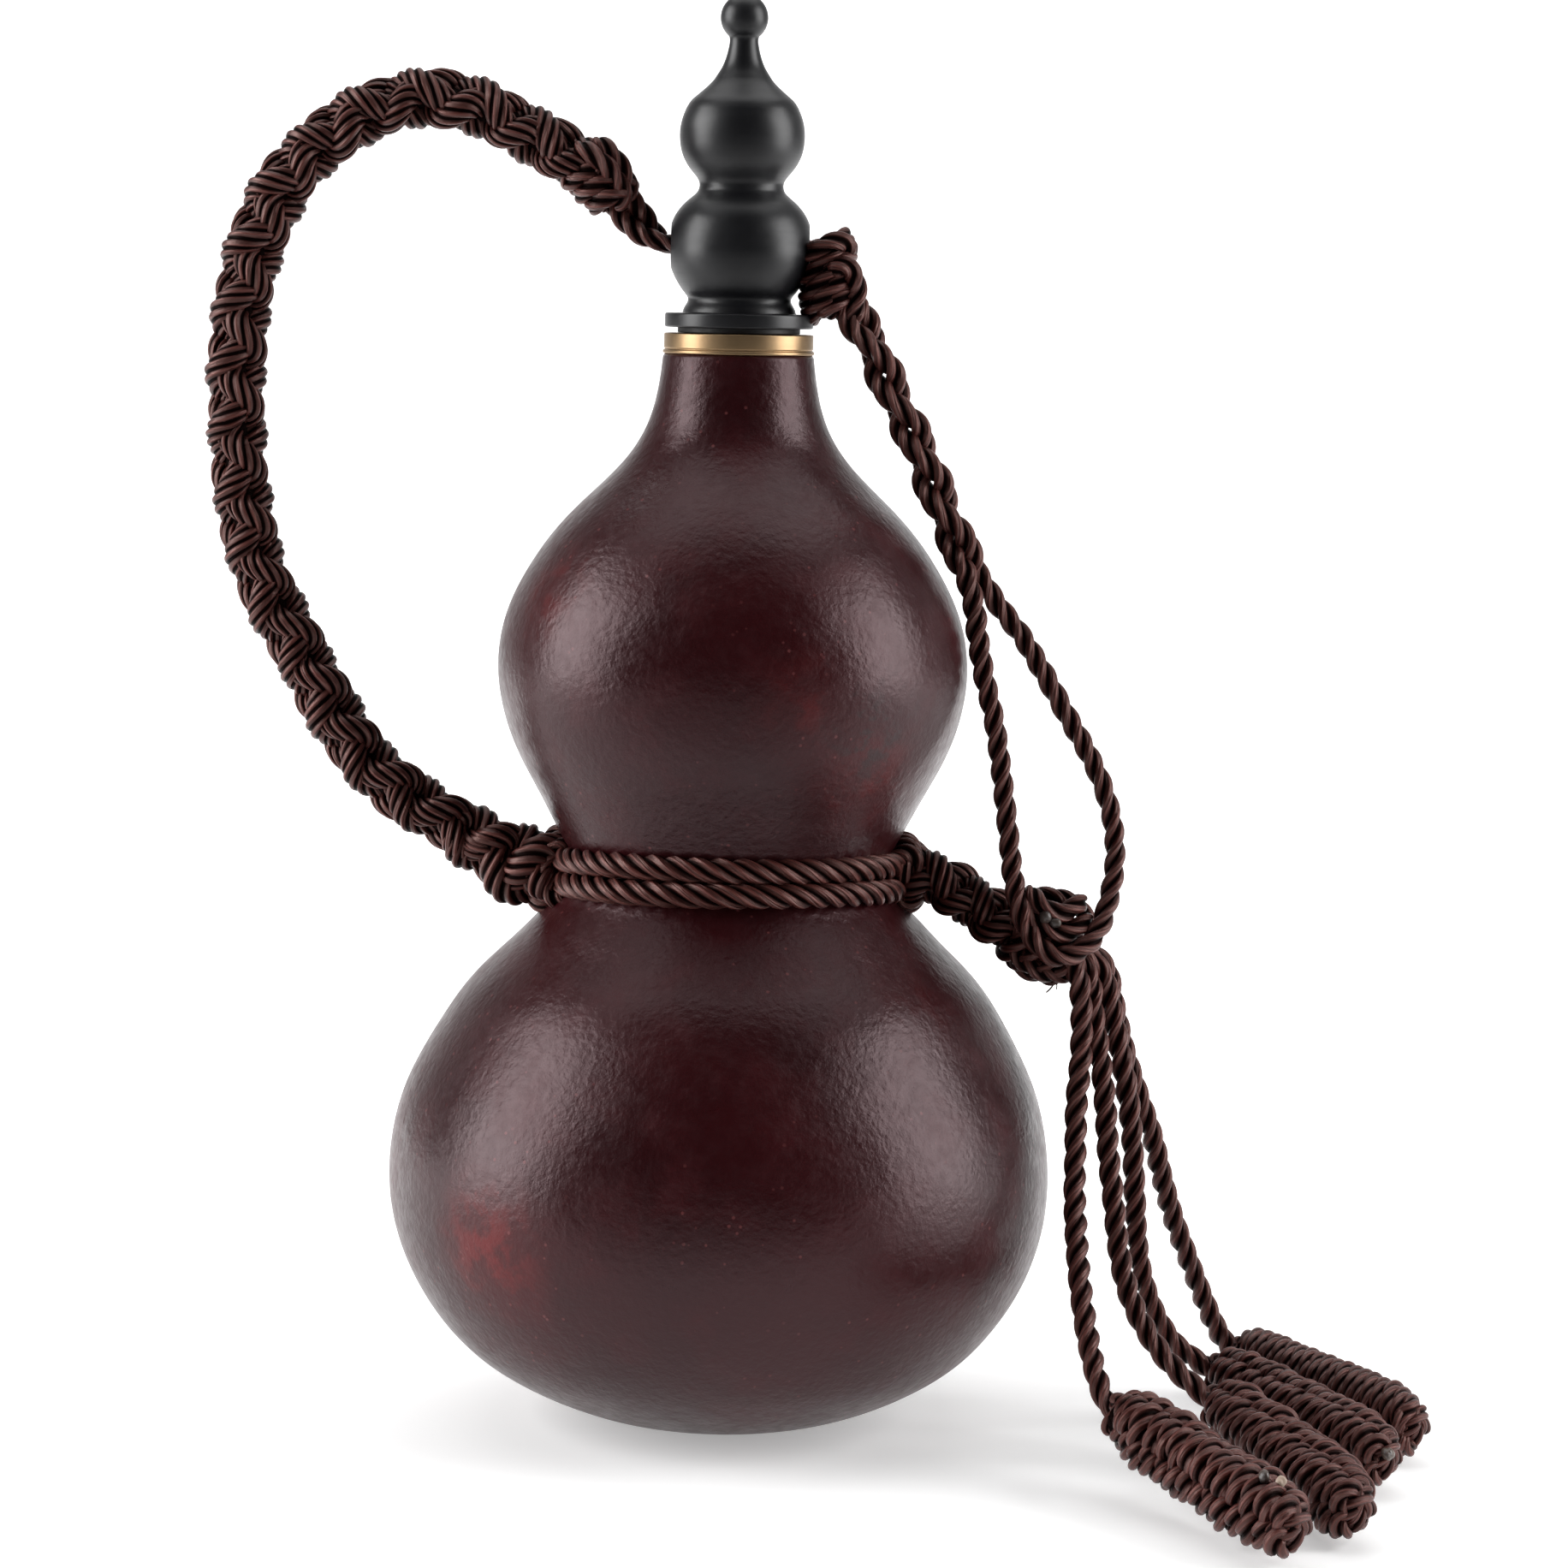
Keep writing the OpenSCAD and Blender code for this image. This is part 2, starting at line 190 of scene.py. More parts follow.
def cord_into(
    made, line, radius, lead=13.4, phase=0.0, plies=3, sides=9, closed=False, squash=None, groove=0.48,
    start="round", end="round", first=(0.03, 1, 0.06), worn=0.0, seed=0,
):
    """A laid cord of round plies along line. radius is a number or one for each point. squash is (direction, share): the cord is flatter along it."""
    q = line[:-1] if closed else line
    m = len(q)
    if closed:
        wrap = np.concatenate([q[-1:], q, q[:1]])
        t = unit(wrap[2:] - wrap[:-2])
        axis = unit(np.cross(t[0], t[m // 4]))
        n = np.tile(axis, (m, 1))
        n = unit(n - (n * t).sum(1, keepdims=True) * t)
        b = np.cross(t, n)
    else:
        t, n, b = frames(q, first)
    s = lengths(line)[:m]
    total = lengths(line)[-1]
    r = np.broadcast_to(np.asarray(radius, float), (m,)).copy()
    if closed:
        turns = round(total / lead * plies) / plies
        twist = TAU * turns * s / total
    else:
        twist = TAU * s / lead
    if worn:
        g = np.random.default_rng(seed + 11)
        k = max(4, int(total / 9))
        r *= 1 + worn * np.interp(s, np.linspace(0, total, k), g.uniform(-1, 1, k))
        twist = twist + 0.35 * worn / 0.05 * np.interp(s, np.linspace(0, total, k), g.uniform(-1, 1, k))
    sides_all = plies * sides
    th = np.arange(sides_all) / sides_all * TAU
    if plies > 1:
        d = (th + math.pi / plies) % (TAU / plies) - math.pi / plies
        rho, a = groove, 1 - groove
        lobe = a * np.cos(d) + np.sqrt(np.maximum(rho**2 - (a * np.sin(d)) ** 2, 1e-6))
    else:
        lobe = np.ones_like(th)
    deep = (lobe - lobe.min()) / max(lobe.max() - lobe.min(), 1e-6)
    if plies == 1:
        deep[:] = 1
    cap = np.ones(m)
    shift = np.zeros(m)
    if not closed:
        for which, side in ((start, 0), (end, 1)):
            if which == "round":
                dist = (s if side == 0 else total - s) / np.maximum(r, 1e-6)
                cap *= np.sqrt(np.clip(1 - np.clip(1 - dist, 0, 1) ** 2, 0.0025, 1))
    ang = th[None, :] + phase + twist[:, None]
    rad = (r * cap)[:, None] * lobe[None, :]
    off = rad[..., None] * (np.cos(ang)[..., None] * n[:, None, :] + np.sin(ang)[..., None] * b[:, None, :])
    if squash is not None:
        direction, share = squash
        direction = unit(np.array(direction, float)) if np.ndim(direction) == 1 else direction
        if direction.ndim == 1:
            direction = np.tile(direction, (m, 1))
        along = (off * direction[:, None, :]).sum(-1, keepdims=True)
        off = off - share * along * direction[:, None, :]
    v = (q[:, None, :] + off).reshape(-1, 3)
    ply = np.stack(
        [np.tile(np.cos(th), m), np.tile(np.sin(th), m), np.repeat(s + 37.0 * (seed % 13), sides_all)], 1
    )
    dp = np.tile(deep, m)
    quads = ring_faces(m, sides_all, closed)
    tris = np.zeros((0, 3), int)
    if not closed:
        c0, c1 = len(v), len(v) + 1
        v = np.concatenate([v, q[:1] - t[:1] * r[0] * 0.002, q[-1:] + t[-1:] * r[-1] * 0.002])
        j = np.arange(sides_all)
        tris = np.concatenate(
            [
                np.stack([np.full(sides_all, c0), (j + 1) % sides_all, j], 1),
                np.stack([np.full(sides_all, c1), (m - 1) * sides_all + j, (m - 1) * sides_all + (j + 1) % sides_all], 1),
            ]
        )
        ply = np.concatenate([ply, ply[:1], ply[-1:]])
        dp = np.concatenate([dp, [0.6, 0.6]])
    made.add(v, quads, tris, ply, dp)


def lathe(name, profile, material, segs=192, wobble=None):
    """A turned piece from (radius, height) points, in mm. The profile may start and end on the axis, or close on itself."""
    p = np.array(profile, float)
    rings = len(p)
    th = np.arange(segs) / segs * TAU
    v = np.stack(
        [p[:, :1] * np.cos(th), p[:, :1] * np.sin(th), np.repeat(p[:, 1:2], segs, 1)], -1
    ).reshape(-1, 3)
    if wobble is not None:
        v = wobble(v)
    i = np.arange(rings - 1)[:, None]
    j = np.arange(segs)[None, :]
    q = np.stack([i * segs + j, i * segs + (j + 1) % segs, (i + 1) * segs + (j + 1) % segs, (i + 1) * segs + j], -1).reshape(-1, 4)
    me = bpy.data.meshes.new(name)
    v = v * 0.001
    me.vertices.add(len(v))
    me.vertices.foreach_set("co", v.astype(np.float32).ravel())
    me.loops.add(4 * len(q))
    me.loops.foreach_set("vertex_index", q.ravel().astype(np.int32))
    me.polygons.add(len(q))
    me.polygons.foreach_set("loop_start", (4 * np.arange(len(q))).astype(np.int32))
    me.update(calc_edges=True)
    import bmesh

    bm = bmesh.new()
    bm.from_mesh(me)
    bmesh.ops.remove_doubles(bm, verts=bm.verts, dist=1e-7)
    bmesh.ops.dissolve_degenerate(bm, edges=bm.edges, dist=1e-8)
    bmesh.ops.recalc_face_normals(bm, faces=bm.faces)
    bm.to_mesh(me)
    bm.free()
    me.polygons.foreach_set("use_smooth", np.full(len(me.polygons), True))
    me.materials.append(material)
    ob = bpy.data.objects.new(name, me)
    bpy.context.scene.collection.objects.link(ob)
    return ob


def arcs(points, radii, n=6):
    """Profile points with each inner corner rounded by its radius."""
    p = [np.array(a, float) for a in points]
    out = [p[0]]
    for i in range(1, len(p) - 1):
        a, b, c = p[i - 1], p[i], p[i + 1]
        r = radii[i] if i < len(radii) else 0
        u, w = unit(a - b), unit(c - b)
        cosang = float(np.clip(u @ w, -1, 1))
        half = math.acos(cosang) / 2
        if r <= 0 or half > math.radians(88):
            out.append(b)
            continue
        cut = min(r / math.tan(half), 0.49 * np.linalg.norm(a - b), 0.49 * np.linalg.norm(c - b))
        s, e = b + u * cut, b + w * cut
        for k in range(n + 1):
            t = k / n
            out.append((1 - t) ** 2 * s + 2 * t * (1 - t) * b + t**2 * e)
    out.append(p[-1])
    return [tuple(x) for x in out]


# ---------------------------------------------------------------- materials
def material(name):
    m = bpy.data.materials.new(name)
    m.use_nodes = True
    nt = m.node_tree
    return m, nt, nt.nodes["Principled BSDF"]


def node(nt, kind, **kw):
    n = nt.nodes.new(kind)
    for k, v in kw.items():
        if k.startswith("_"):
            setattr(n, k[1:], v)
        else:
            n.inputs[k.replace("_", " ")].default_value = v
    return n


def math_node(nt, op, a, b=None, clamp=False):
    n = nt.nodes.new("ShaderNodeMath")
    n.operation = op
    n.use_clamp = clamp
    for i, x in enumerate((a, b)):
        if x is None:
            continue
        if isinstance(x, (int, float)):
            n.inputs[i].default_value = x
        else:
            nt.links.new(x, n.inputs[i])
    return n.outputs[0]


def mix_colour(nt, fac, a, b, blend="MIX"):
    n = nt.nodes.new("ShaderNodeMix")
    n.data_type = "RGBA"
    n.blend_type = blend
    for sock, x in ((n.inputs[0], fac), (n.inputs[6], a), (n.inputs[7], b)):
        if isinstance(x, (int, float)):
            sock.default_value = x
        elif isinstance(x, tuple):
            sock.default_value = (*x, 1)
        else:
            nt.links.new(x, sock)
    return n.outputs[2]


def ramp(nt, fac, low, high, to_low=0.0, to_high=1.0, smooth=True):
    n = nt.nodes.new("ShaderNodeMapRange")
    n.interpolation_type = "SMOOTHSTEP" if smooth else "LINEAR"
    nt.links.new(fac, n.inputs["Value"])
    n.inputs["From Min"].default_value = low
    n.inputs["From Max"].default_value = high
    n.inputs["To Min"].default_value = to_low
    n.inputs["To Max"].default_value = to_high
    return n.outputs[0]


def noise(nt, vector, scale, detail=3, rough=0.5, dist=0.0):
    n = nt.nodes.new("ShaderNodeTexNoise")
    n.inputs["Scale"].default_value = scale
    n.inputs["Detail"].default_value = detail
    n.inputs["Roughness"].default_value = rough
    n.inputs["Distortion"].default_value = dist
    nt.links.new(vector, n.inputs["Vector"])
    return n.outputs[0]


def bump(nt, height, distance, strength=1.0, before=None):
    n = nt.nodes.new("ShaderNodeBump")
    n.inputs["Strength"].default_value = strength
    n.inputs["Distance"].default_value = distance
    nt.links.new(height, n.inputs["Height"])
    if before is not None:
        nt.links.new(before, n.inputs["Normal"])
    return n.outputs[0]


def blob(nt, pos, centre, radius, soft):
    """1 inside a ball round centre, fading to 0 over soft, in metres."""
    n = nt.nodes.new("ShaderNodeVectorMath")
    n.operation = "DISTANCE"
    nt.links.new(pos, n.inputs[0])
    n.inputs[1].default_value = centre
    return ramp(nt, n.outputs["Value"], radius - soft, radius + soft, 1.0, 0.0)


def lacquer_material():
    m, nt, p = material("lacquered_gourd")
    L = nt.links.new
    pos = nt.nodes.new("ShaderNodeTexCoord").outputs["Object"]
    big = noise(nt, pos, 22, 3, 0.55)
    mid = noise(nt, pos, 70, 5, 0.62)
    fine = noise(nt, pos, 420, 3, 0.6)
    base = mix_colour(nt, ramp(nt, big, 0.35, 0.68), (0.0165, 0.0018, 0.0026), (0.0250, 0.0024, 0.0034))
    base = mix_colour(nt, ramp(nt, mid, 0.45, 0.75, 0, 0.55), base, (0.040, 0.0030, 0.0046))
    # red shows through where the top coat is thin
    thin = math_node(nt, "MAXIMUM", blob(nt, pos, (-0.0400, -0.0440, 0.0410), 0.0090, 0.0090), math_node(nt, "MULTIPLY", blob(nt, pos, (0.014, -0.0420, 0.1390), 0.006, 0.008), 0.42))
    thin = math_node(nt, "MAXIMUM", thin, math_node(nt, "MULTIPLY", blob(nt, pos, (0.026, -0.0310, 0.1250), 0.008, 0.008), 0.45))
    thin = math_node(nt, "MAXIMUM", thin, math_node(nt, "MULTIPLY", blob(nt, pos, (-0.0335, -0.0240, 0.1580), 0.006, 0.009), 0.5))
    thin = math_node(nt, "MAXIMUM", thin, math_node(nt, "MULTIPLY", blob(nt, pos, (0.040, -0.0360, 0.0900), 0.008, 0.010), 0.35))
    thin = math_node(nt, "MAXIMUM", thin, math_node(nt, "MULTIPLY", blob(nt, pos, (0.020, 0.0520, 0.0600), 0.014, 0.014), 0.8))
    thin = math_node(nt, "MAXIMUM", thin, math_node(nt, "MULTIPLY", blob(nt, pos, (-0.050, 0.0320, 0.0480), 0.010, 0.012), 0.5))
    patchy = ramp(nt, noise(nt, pos, 160, 4, 0.65), 0.44, 0.62)
    red = math_node(nt, "MULTIPLY", thin, math_node(nt, "ADD", math_node(nt, "MULTIPLY", patchy, 0.62), 0.28))
    base = mix_colour(nt, red, base, (0.125, 0.0080, 0.0078))
    # greenish-dark stains beside the red ones
    stain = math_node(nt, "MULTIPLY", blob(nt, pos, (0.0245, -0.0310, 0.1345), 0.009, 0.008), ramp(nt, noise(nt, pos, 210, 4, 0.7), 0.5, 0.62))
    base = mix_colour(nt, math_node(nt, "MULTIPLY", stain, 0.75), base, (0.014, 0.013, 0.013))
    # small pale and dark specks
    vor = nt.nodes.new("ShaderNodeTexVoronoi")
    vor.inputs["Scale"].default_value = 520
    vor.inputs["Randomness"].default_value = 1
    L(pos, vor.inputs["Vector"])
    dot = ramp(nt, vor.outputs["Distance"], 0.10, 0.22, 1, 0)
    rare = ramp(nt, vor.outputs["Color"], 0.66, 0.70)
    specks = math_node(nt, "MULTIPLY", dot, rare)
    where = ramp(nt, noise(nt, pos, 34, 2, 0.5), 0.42, 0.6)
    specks = math_node(nt, "MULTIPLY", specks, where)
    base = mix_colour(nt, math_node(nt, "MULTIPLY", specks, 0.5), base, (0.16, 0.045, 0.045))
    L(base, p.inputs["Base Color"])
    rough = math_node(nt, "ADD", ramp(nt, mid, 0.3, 0.75, 0.30, 0.39), ramp(nt, fine, 0.35, 0.7, -0.03, 0.05))
    L(rough, p.inputs["Roughness"])
    p.inputs["Specular IOR Level"].default_value = 0.36
    p.inputs["Specular Tint"].default_value = (1.0, 0.72, 0.76, 1)
    p.inputs["Coat Weight"].default_value = 0.06
    p.inputs["Coat Roughness"].default_value = 0.26
    p.inputs["Coat IOR"].default_value = 1.5
    n1 = bump(nt, noise(nt, pos, 160, 2, 0.5), 0.00017, 0.8)
    n2 = bump(nt, noise(nt, pos, 760, 3, 0.55), 0.00014, 0.9, n1)
    n3 = bump(nt, math_node(nt, "MULTIPLY", dot, ramp(nt, vor.outputs["Color"], 0.3, 0.34)), 0.00006, -0.9, n2)
    L(n3, p.inputs["Normal"])
    L(n2, p.inputs["Coat Normal"])
    return m


def turned_material(name, colour, rough, lines=2600, depth=0.00002, metallic=0.0, coat=0.0, coat_rough=0.2, spec=0.5, patch=0.05):
    """A turned surface: fine rings round Z, a little cloud in the gloss."""
    m, nt, p = material(name)
    L = nt.links.new
    pos = nt.nodes.new("ShaderNodeTexCoord").outputs["Object"]
    sep = nt.nodes.new("ShaderNodeSeparateXYZ")
    L(pos, sep.inputs[0])
    comb = nt.nodes.new("ShaderNodeCombineXYZ")
    L(sep.outputs["Z"], comb.inputs["Z"])
    rings = noise(nt, comb.outputs[0], lines, 2, 0.6)
    cloud = noise(nt, pos, 90, 3, 0.6)
    base = mix_colour(nt, ramp(nt, cloud, 0.3, 0.7, 0, 1), tuple(c * 0.86 for c in colour), tuple(min(1, c * 1.12) for c in colour))
    base = mix_colour(nt, ramp(nt, rings, 0.35, 0.7, 0.0, 0.25), base, tuple(c * 0.75 for c in colour))
    L(base, p.inputs["Base Color"])
    L(math_node(nt, "ADD", ramp(nt, cloud, 0.25, 0.75, rough - patch, rough + patch), ramp(nt, rings, 0.3, 0.7, -0.02, 0.03)), p.inputs["Roughness"])
    p.inputs["Metallic"].default_value = metallic
    p.inputs["Specular IOR Level"].default_value = spec
    p.inputs["Coat Weight"].default_value = coat
    p.inputs["Coat Roughness"].default_value = coat_rough
    n1 = bump(nt, rings, depth, 0.6)
    n2 = bump(nt, noise(nt, pos, 900, 2, 0.5), 0.00002, 0.5, n1)
    L(n2, p.inputs["Normal"])
    return m


def cord_material():
    m, nt, p = material("brown_cord")
    L = nt.links.new
    at = nt.nodes.new("ShaderNodeAttribute")
    at.attribute_name = "ply"
    dp = nt.nodes.new("ShaderNodeAttribute")
    dp.attribute_name = "deep"
    pos = nt.nodes.new("ShaderNodeTexCoord").outputs["Object"]
    sep = nt.nodes.new("ShaderNodeSeparateXYZ")
    L(at.outputs["Vector"], sep.inputs[0])
    along = sep.outputs["Z"]
    ang = math_node(nt, "ARCTAN2", sep.outputs["Y"], sep.outputs["X"])
    # yarns: twelve ridges round the cord, which wander a little
    comb = nt.nodes.new("ShaderNodeCombineXYZ")
    L(math_node(nt, "MULTIPLY", sep.outputs["X"], 1.0), comb.inputs["X"])
    L(math_node(nt, "MULTIPLY", sep.outputs["Y"], 1.0), comb.inputs["Y"])
    L(math_node(nt, "MULTIPLY", along, 0.05), comb.inputs["Z"])
    wander = noise(nt, comb.outputs[0], 3.2, 2, 0.5)
    turn = math_node(nt, "ADD", math_node(nt, "MULTIPLY", ang, 12.0), math_node(nt, "MULTIPLY", wander, 7.0))
    turn = math_node(nt, "ADD", turn, math_node(nt, "MULTIPLY", along, 0.55))
    yarn = math_node(nt, "ADD", math_node(nt, "MULTIPLY", math_node(nt, "COSINE", turn), 0.5), 0.5)
    fibre = noise(nt, comb.outputs[0], 30, 3, 0.65)
    cloud = noise(nt, pos, 60, 3, 0.6)
    deep = dp.outputs["Fac"]
    # painted shade and highlight: the colour is darker between the yarn ridges and brighter on their crests
    top = mix_colour(nt, ramp(nt, yarn, 0.1, 0.95), (0.038, 0.0100, 0.0082), (0.115, 0.032, 0.026))
    top = mix_colour(nt, ramp(nt, fibre, 0.3, 0.7, 0.0, 0.45), top, (0.032, 0.0088, 0.0074))
    top = mix_colour(nt, ramp(nt, cloud, 0.4, 0.7, 0.0, 0.35), top, (0.052, 0.0145, 0.0120))
    # painted shade: the grooves between the plies are coloured near black, standing in for the shade that falls in them
    low = mix_colour(nt, ramp(nt, deep, 0.22, 0.95), (0.0035, 0.0014, 0.0013), top)
    L(low, p.inputs["Base Color"])
    L(ramp(nt, fibre, 0.3, 0.7, 0.42, 0.29), p.inputs["Roughness"])
    L(ramp(nt, deep, 0.3, 0.95, 0.02, 0.72), p.inputs["Specular IOR Level"])
    p.inputs["Specular Tint"].default_value = (1.0, 0.62, 0.56, 1)
    n1 = bump(nt, yarn, 0.00022, 0.75)
    n2 = bump(nt, fibre, 0.00006, 0.9, n1)
    L(n2, p.inputs["Normal"])
    return m


def plain_material(name, colour, rough, scale=300, depth=0.00004, spec=0.5, second=None, subsurface=0.0):
    m, nt, p = material(name)
    L = nt.links.new
    pos = nt.nodes.new("ShaderNodeTexCoord").outputs["Object"]
    a = noise(nt, pos, scale, 4, 0.6)
    b = noise(nt, pos, scale * 0.2, 3, 0.6)
    base = mix_colour(nt, ramp(nt, b, 0.35, 0.65), colour, second or tuple(c * 1.3 for c in colour))
    base = mix_colour(nt, ramp(nt, a, 0.45, 0.75, 0, 0.35), base, tuple(c * 0.6 for c in colour))
    L(base, p.inputs["Base Color"])
    L(ramp(nt, a, 0.3, 0.7, rough - 0.06, rough + 0.08), p.inputs["Roughness"])
    p.inputs["Specular IOR Level"].default_value = spec
    if subsurface:
        p.inputs["Subsurface Weight"].default_value = subsurface
        p.inputs["Subsurface Radius"].default_value = (0.002, 0.001, 0.0005)
    L(bump(nt, a, depth, 0.7), p.inputs["Normal"])
    return m


def wood_material(name, dark, light, rough=0.45):
    m, nt, p = material(name)
    L = nt.links.new
    pos = nt.nodes.new("ShaderNodeTexCoord").outputs["Object"]
    mp = nt.nodes.new("ShaderNodeMapping")
    mp.inputs["Scale"].default_value = (1, 1, 0.12)
    L(pos, mp.inputs["Vector"])
    grain = noise(nt, mp.outputs[0], 420, 5, 0.65, 0.4)
    pores = noise(nt, mp.outputs[0], 1500, 2, 0.6)
    base = mix_colour(nt, ramp(nt, grain, 0.3, 0.7), dark, light)
    base = mix_colour(nt, ramp(nt, pores, 0.6, 0.72, 0, 0.6), base, tuple(c * 0.4 for c in dark))
    L(base, p.inputs["Base Color"])
    L(ramp(nt, grain, 0.3, 0.7, rough - 0.06, rough + 0.08), p.inputs["Roughness"])
    L(bump(nt, pores, 0.00005, 0.6, bump(nt, grain, 0.00004, 0.5)), p.inputs["Normal"])
    return m


LACQUER = lacquer_material()
BLACK = turned_material("black_satin", (0.0048, 0.0048, 0.0062), 0.38, lines=1900, depth=0.000012, coat=0.08, coat_rough=0.3, spec=0.40)
BRASS = turned_material("brass", (0.33, 0.222, 0.122), 0.38, lines=5200, depth=0.00001, metallic=1.0, patch=0.03)
CORD = cord_material()
RUBBER = plain_material("black_rubber", (0.012, 0.012, 0.013), 0.55, 500, 0.00003)
WOOD = wood_material("dark_wood", (0.020, 0.013, 0.010), (0.045, 0.028, 0.020))
WAX = plain_material("wax", (0.42, 0.27, 0.10), 0.5, 120, 0.0002, second=(0.55, 0.38, 0.17), subsurface=0.15)
BURNT = plain_material("melted_tip", (0.12, 0.090, 0.072), 0.32, 900, 0.0002, second=(0.035, 0.026, 0.024))
TAN = plain_material("melted_tip_pale", (0.25, 0.17, 0.12), 0.35, 900, 0.0002, second=(0.42, 0.32, 0.25))
FRAY = plain_material("loose_thread", (0.10, 0.05, 0.042), 0.5, 2000, 0.00002)


# ---------------------------------------------------------------- routes, as in part.scad
HANDLE = [(-36.4, 0, 103.8), (-40.5, 0, 105), (-46.5, 0, 108.1), (-54.3, 0, 112.6), (-63.2, 0, 118.4),
          (-70.6, 0, 125.6), (-77.2, 0, 136.4), (-83.2, 0, 147.5), (-88.6, 0, 157.6), (-91.4, 0, 168.5),
          (-93, 0, 179.8), (-93.5, 0, 191), (-93, 0, 202), (-91.6, 0, 212.6), (-88, 0, 224.6),
          (-82.6, 0, 233.6), (-74.8, 0, 240.8), (-66, 0, 245.4), (-58, 0, 247), (-50, 0, 245.6),
          (-42, 0, 242), (-34, 0, 237.6), (-28, 0, 234)]
HANDLE_END = [(-25, 0, 231.5), (-21.5, 0, 227.6), (-18.6, 0, 224.2), (-15.7, 0, 221.8)]
TAIL = [(34.6, -2.6, 104.2), (38, -3.4, 103.6), (42, -4.4, 102), (46, -5.4, 99.4), (50.5, -6.4, 96.8), (55.5, -7.4, 94.6)]
TETHER = [(21, -4.8, 205.6), (24.2, -5.4, 199), (28, -6.2, 192), (32, -7, 185), (35.4, -7.8, 178),
          (38.6, -8.2, 171), (41.2, -8.2, 164), (43.6, -8.2, 156.6), (45.4, -8.2, 149.4), (46.8, -8.2, 142),
          (48.7, -8.4, 134.6), (50, -8.8, 127), (51.1, -9.2, 119.2), (52.1, -9.8, 111.6), (53.2, -11.2, 103.6),
          (55.8, -13.6, 95.4), (60.2, -15.4, 91), (65.2, -14.4, 91.6), (69, -11.6, 95.2), (71, -9.4, 101),
          (72, -8.2, 107.4), (71.6, -7.4, 114.4), (69.6, -6.8, 121.6), (66.6, -6, 128), (62.8, -5.2, 134.4),
          (58.8, -4.4, 141.4), (54.4, -3.6, 148.6), (50, -3, 155), (46, -2.8, 161), (42.4, -2.8, 167),
          (39.4, -2.8, 173), (37, -2.6, 179), (34.8, -2.4, 185), (32.2, -2, 191.4), (29.4, -1.8, 197.4),
          (26.8, -1.4, 202.6), (25, -1.2, 206)]
TASSEL_CORDS = [
    [(65.4, -12.6, 87), (66.2, -13, 80), (66.2, -15, 72), (65.4, -18, 64), (65.2, -21.6, 56),
     (65, -25.4, 48.6), (65.2, -31, 41), (65.8, -37, 33), (67, -43, 25), (68.6, -48, 18.6), (70.4, -51, 15)],
    [(67.6, -9.4, 87), (68.6, -10.2, 80), (70, -12.2, 71.6), (71, -14.6, 63), (71.6, -17, 54.6),
     (72.6, -20, 46), (73.6, -22.8, 37.4), (75.4, -25.6, 30), (78.8, -28.6, 23.2), (83.6, -31.2, 17.4), (89.6, -33.4, 12.6)],
    [(70, -6.2, 87.4), (72.2, -6.4, 80), (74.2, -7.4, 71), (75.8, -8, 62.6), (76.8, -8.2, 54),
     (77.4, -8.2, 45.4), (78, -7.6, 37), (79.4, -6.6, 29), (82.2, -5.2, 21.4), (86.6, -3.4, 14.8), (92.8, -1.2, 10.4)],
    [(70.8, -2.4, 88), (73, -2.2, 80), (75.2, -0.8, 71.4), (78.2, 1.2, 62.6), (81.4, 3.8, 54),
     (83.6, 6.4, 45.8), (86.2, 9.6, 37.4), (89.4, 12.6, 29.2), (93, 15.8, 20.4), (96.2, 18.2, 13.4), (99.2, 19.6, 9)],
]
TASSELS = [((71, -52, 14.4), (99.2, -104.4, 7)), ((90.6, -34, 12), (111.2, -91.4, 7)),
           ((93.7, -1.4, 10), (121, -56, 7)), ((100, 19.6, 8.4), (129.4, -33.4, 7))]
CORD_R = 1.85


def mm(points):
    return [tuple(c * 0.001 for c in p) for p in points]


def thin(q, every=3.0):
    return even(q, every) * 0.001


# ---------------------------------------------------------------- braid
def braid_into(made, line, radius, period, scale=None, cord=2.65, weave=0.72, phase=0.75 * math.pi, lead=15.0, flat=None, seed=0, plies=7, groove=0.312):
    """A round braid of four plump cords, two each way, over and under, on a core coloured groove-dark as painted shade.
    flat is (direction, share).
    """
    fine = even(line, 0.5)
    t, n, b = frames(fine)
    s = lengths(fine)
    sc = np.ones(len(s)) if scale is None else scale(s)
    g = np.random.default_rng(seed + 3)
    k = max(4, int(s[-1] / 12))
    w = TAU * s / period + 0.22 * np.interp(s, np.linspace(0, s[-1], k), g.uniform(-1, 1, k))
    r0 = radius - cord - weave
    k = 0
    for hand in (1, -1):
        for start in (0, math.pi):
            kk = max(4, int(s[-1] / 7))
            loose = np.interp(s, np.linspace(0, s[-1], kk), g.uniform(-1, 1, kk))
            th = hand * w + start + phase
            r = (r0 + hand * weave * np.cos(2 * w)) * sc + 0.3 * loose
            off = r[:, None] * (np.cos(th)[:, None] * n + np.sin(th)[:, None] * b)
            if flat is not None:
                fd = unit(np.array(flat[0], float))
                off = off - flat[1] * (off @ fd)[:, None] * fd
            q = fine + off
            size = lengths(q)
            grid = np.linspace(0, size[-1], max(8, int(size[-1] / (STEP * 1.15))))
            q = np.stack([np.interp(grid, size, q[:, i]) for i in range(3)], 1)
            cord_into(made, q, cord * np.interp(grid, size, sc), lead=lead, phase=1.3 * k, plies=plies, sides=7, seed=seed + k, worn=0.08, groove=groove)
            k += 1
    cord_into(made, fine, max(r0, 1.6) * sc * 0.92, plies=1, sides=14)
    # painted shade: the core gets the near-black groove colour
    made.deep[-1][:] = 0


# ---------------------------------------------------------------- cords first
handle_line = dense([(-30.6, -4.6, 102.0)] + HANDLE + [(-25.4, 0, 231.8)], smooth=40)
made = Made()
braid_into(made, handle_line, 6.15, 22.6, scale=lambda s: 1 + 0.12 * np.exp(-((s / 15.0) ** 2)))
handle = made.make("handle_braid_cord", CORD)
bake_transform(handle)
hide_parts("handle_braid")

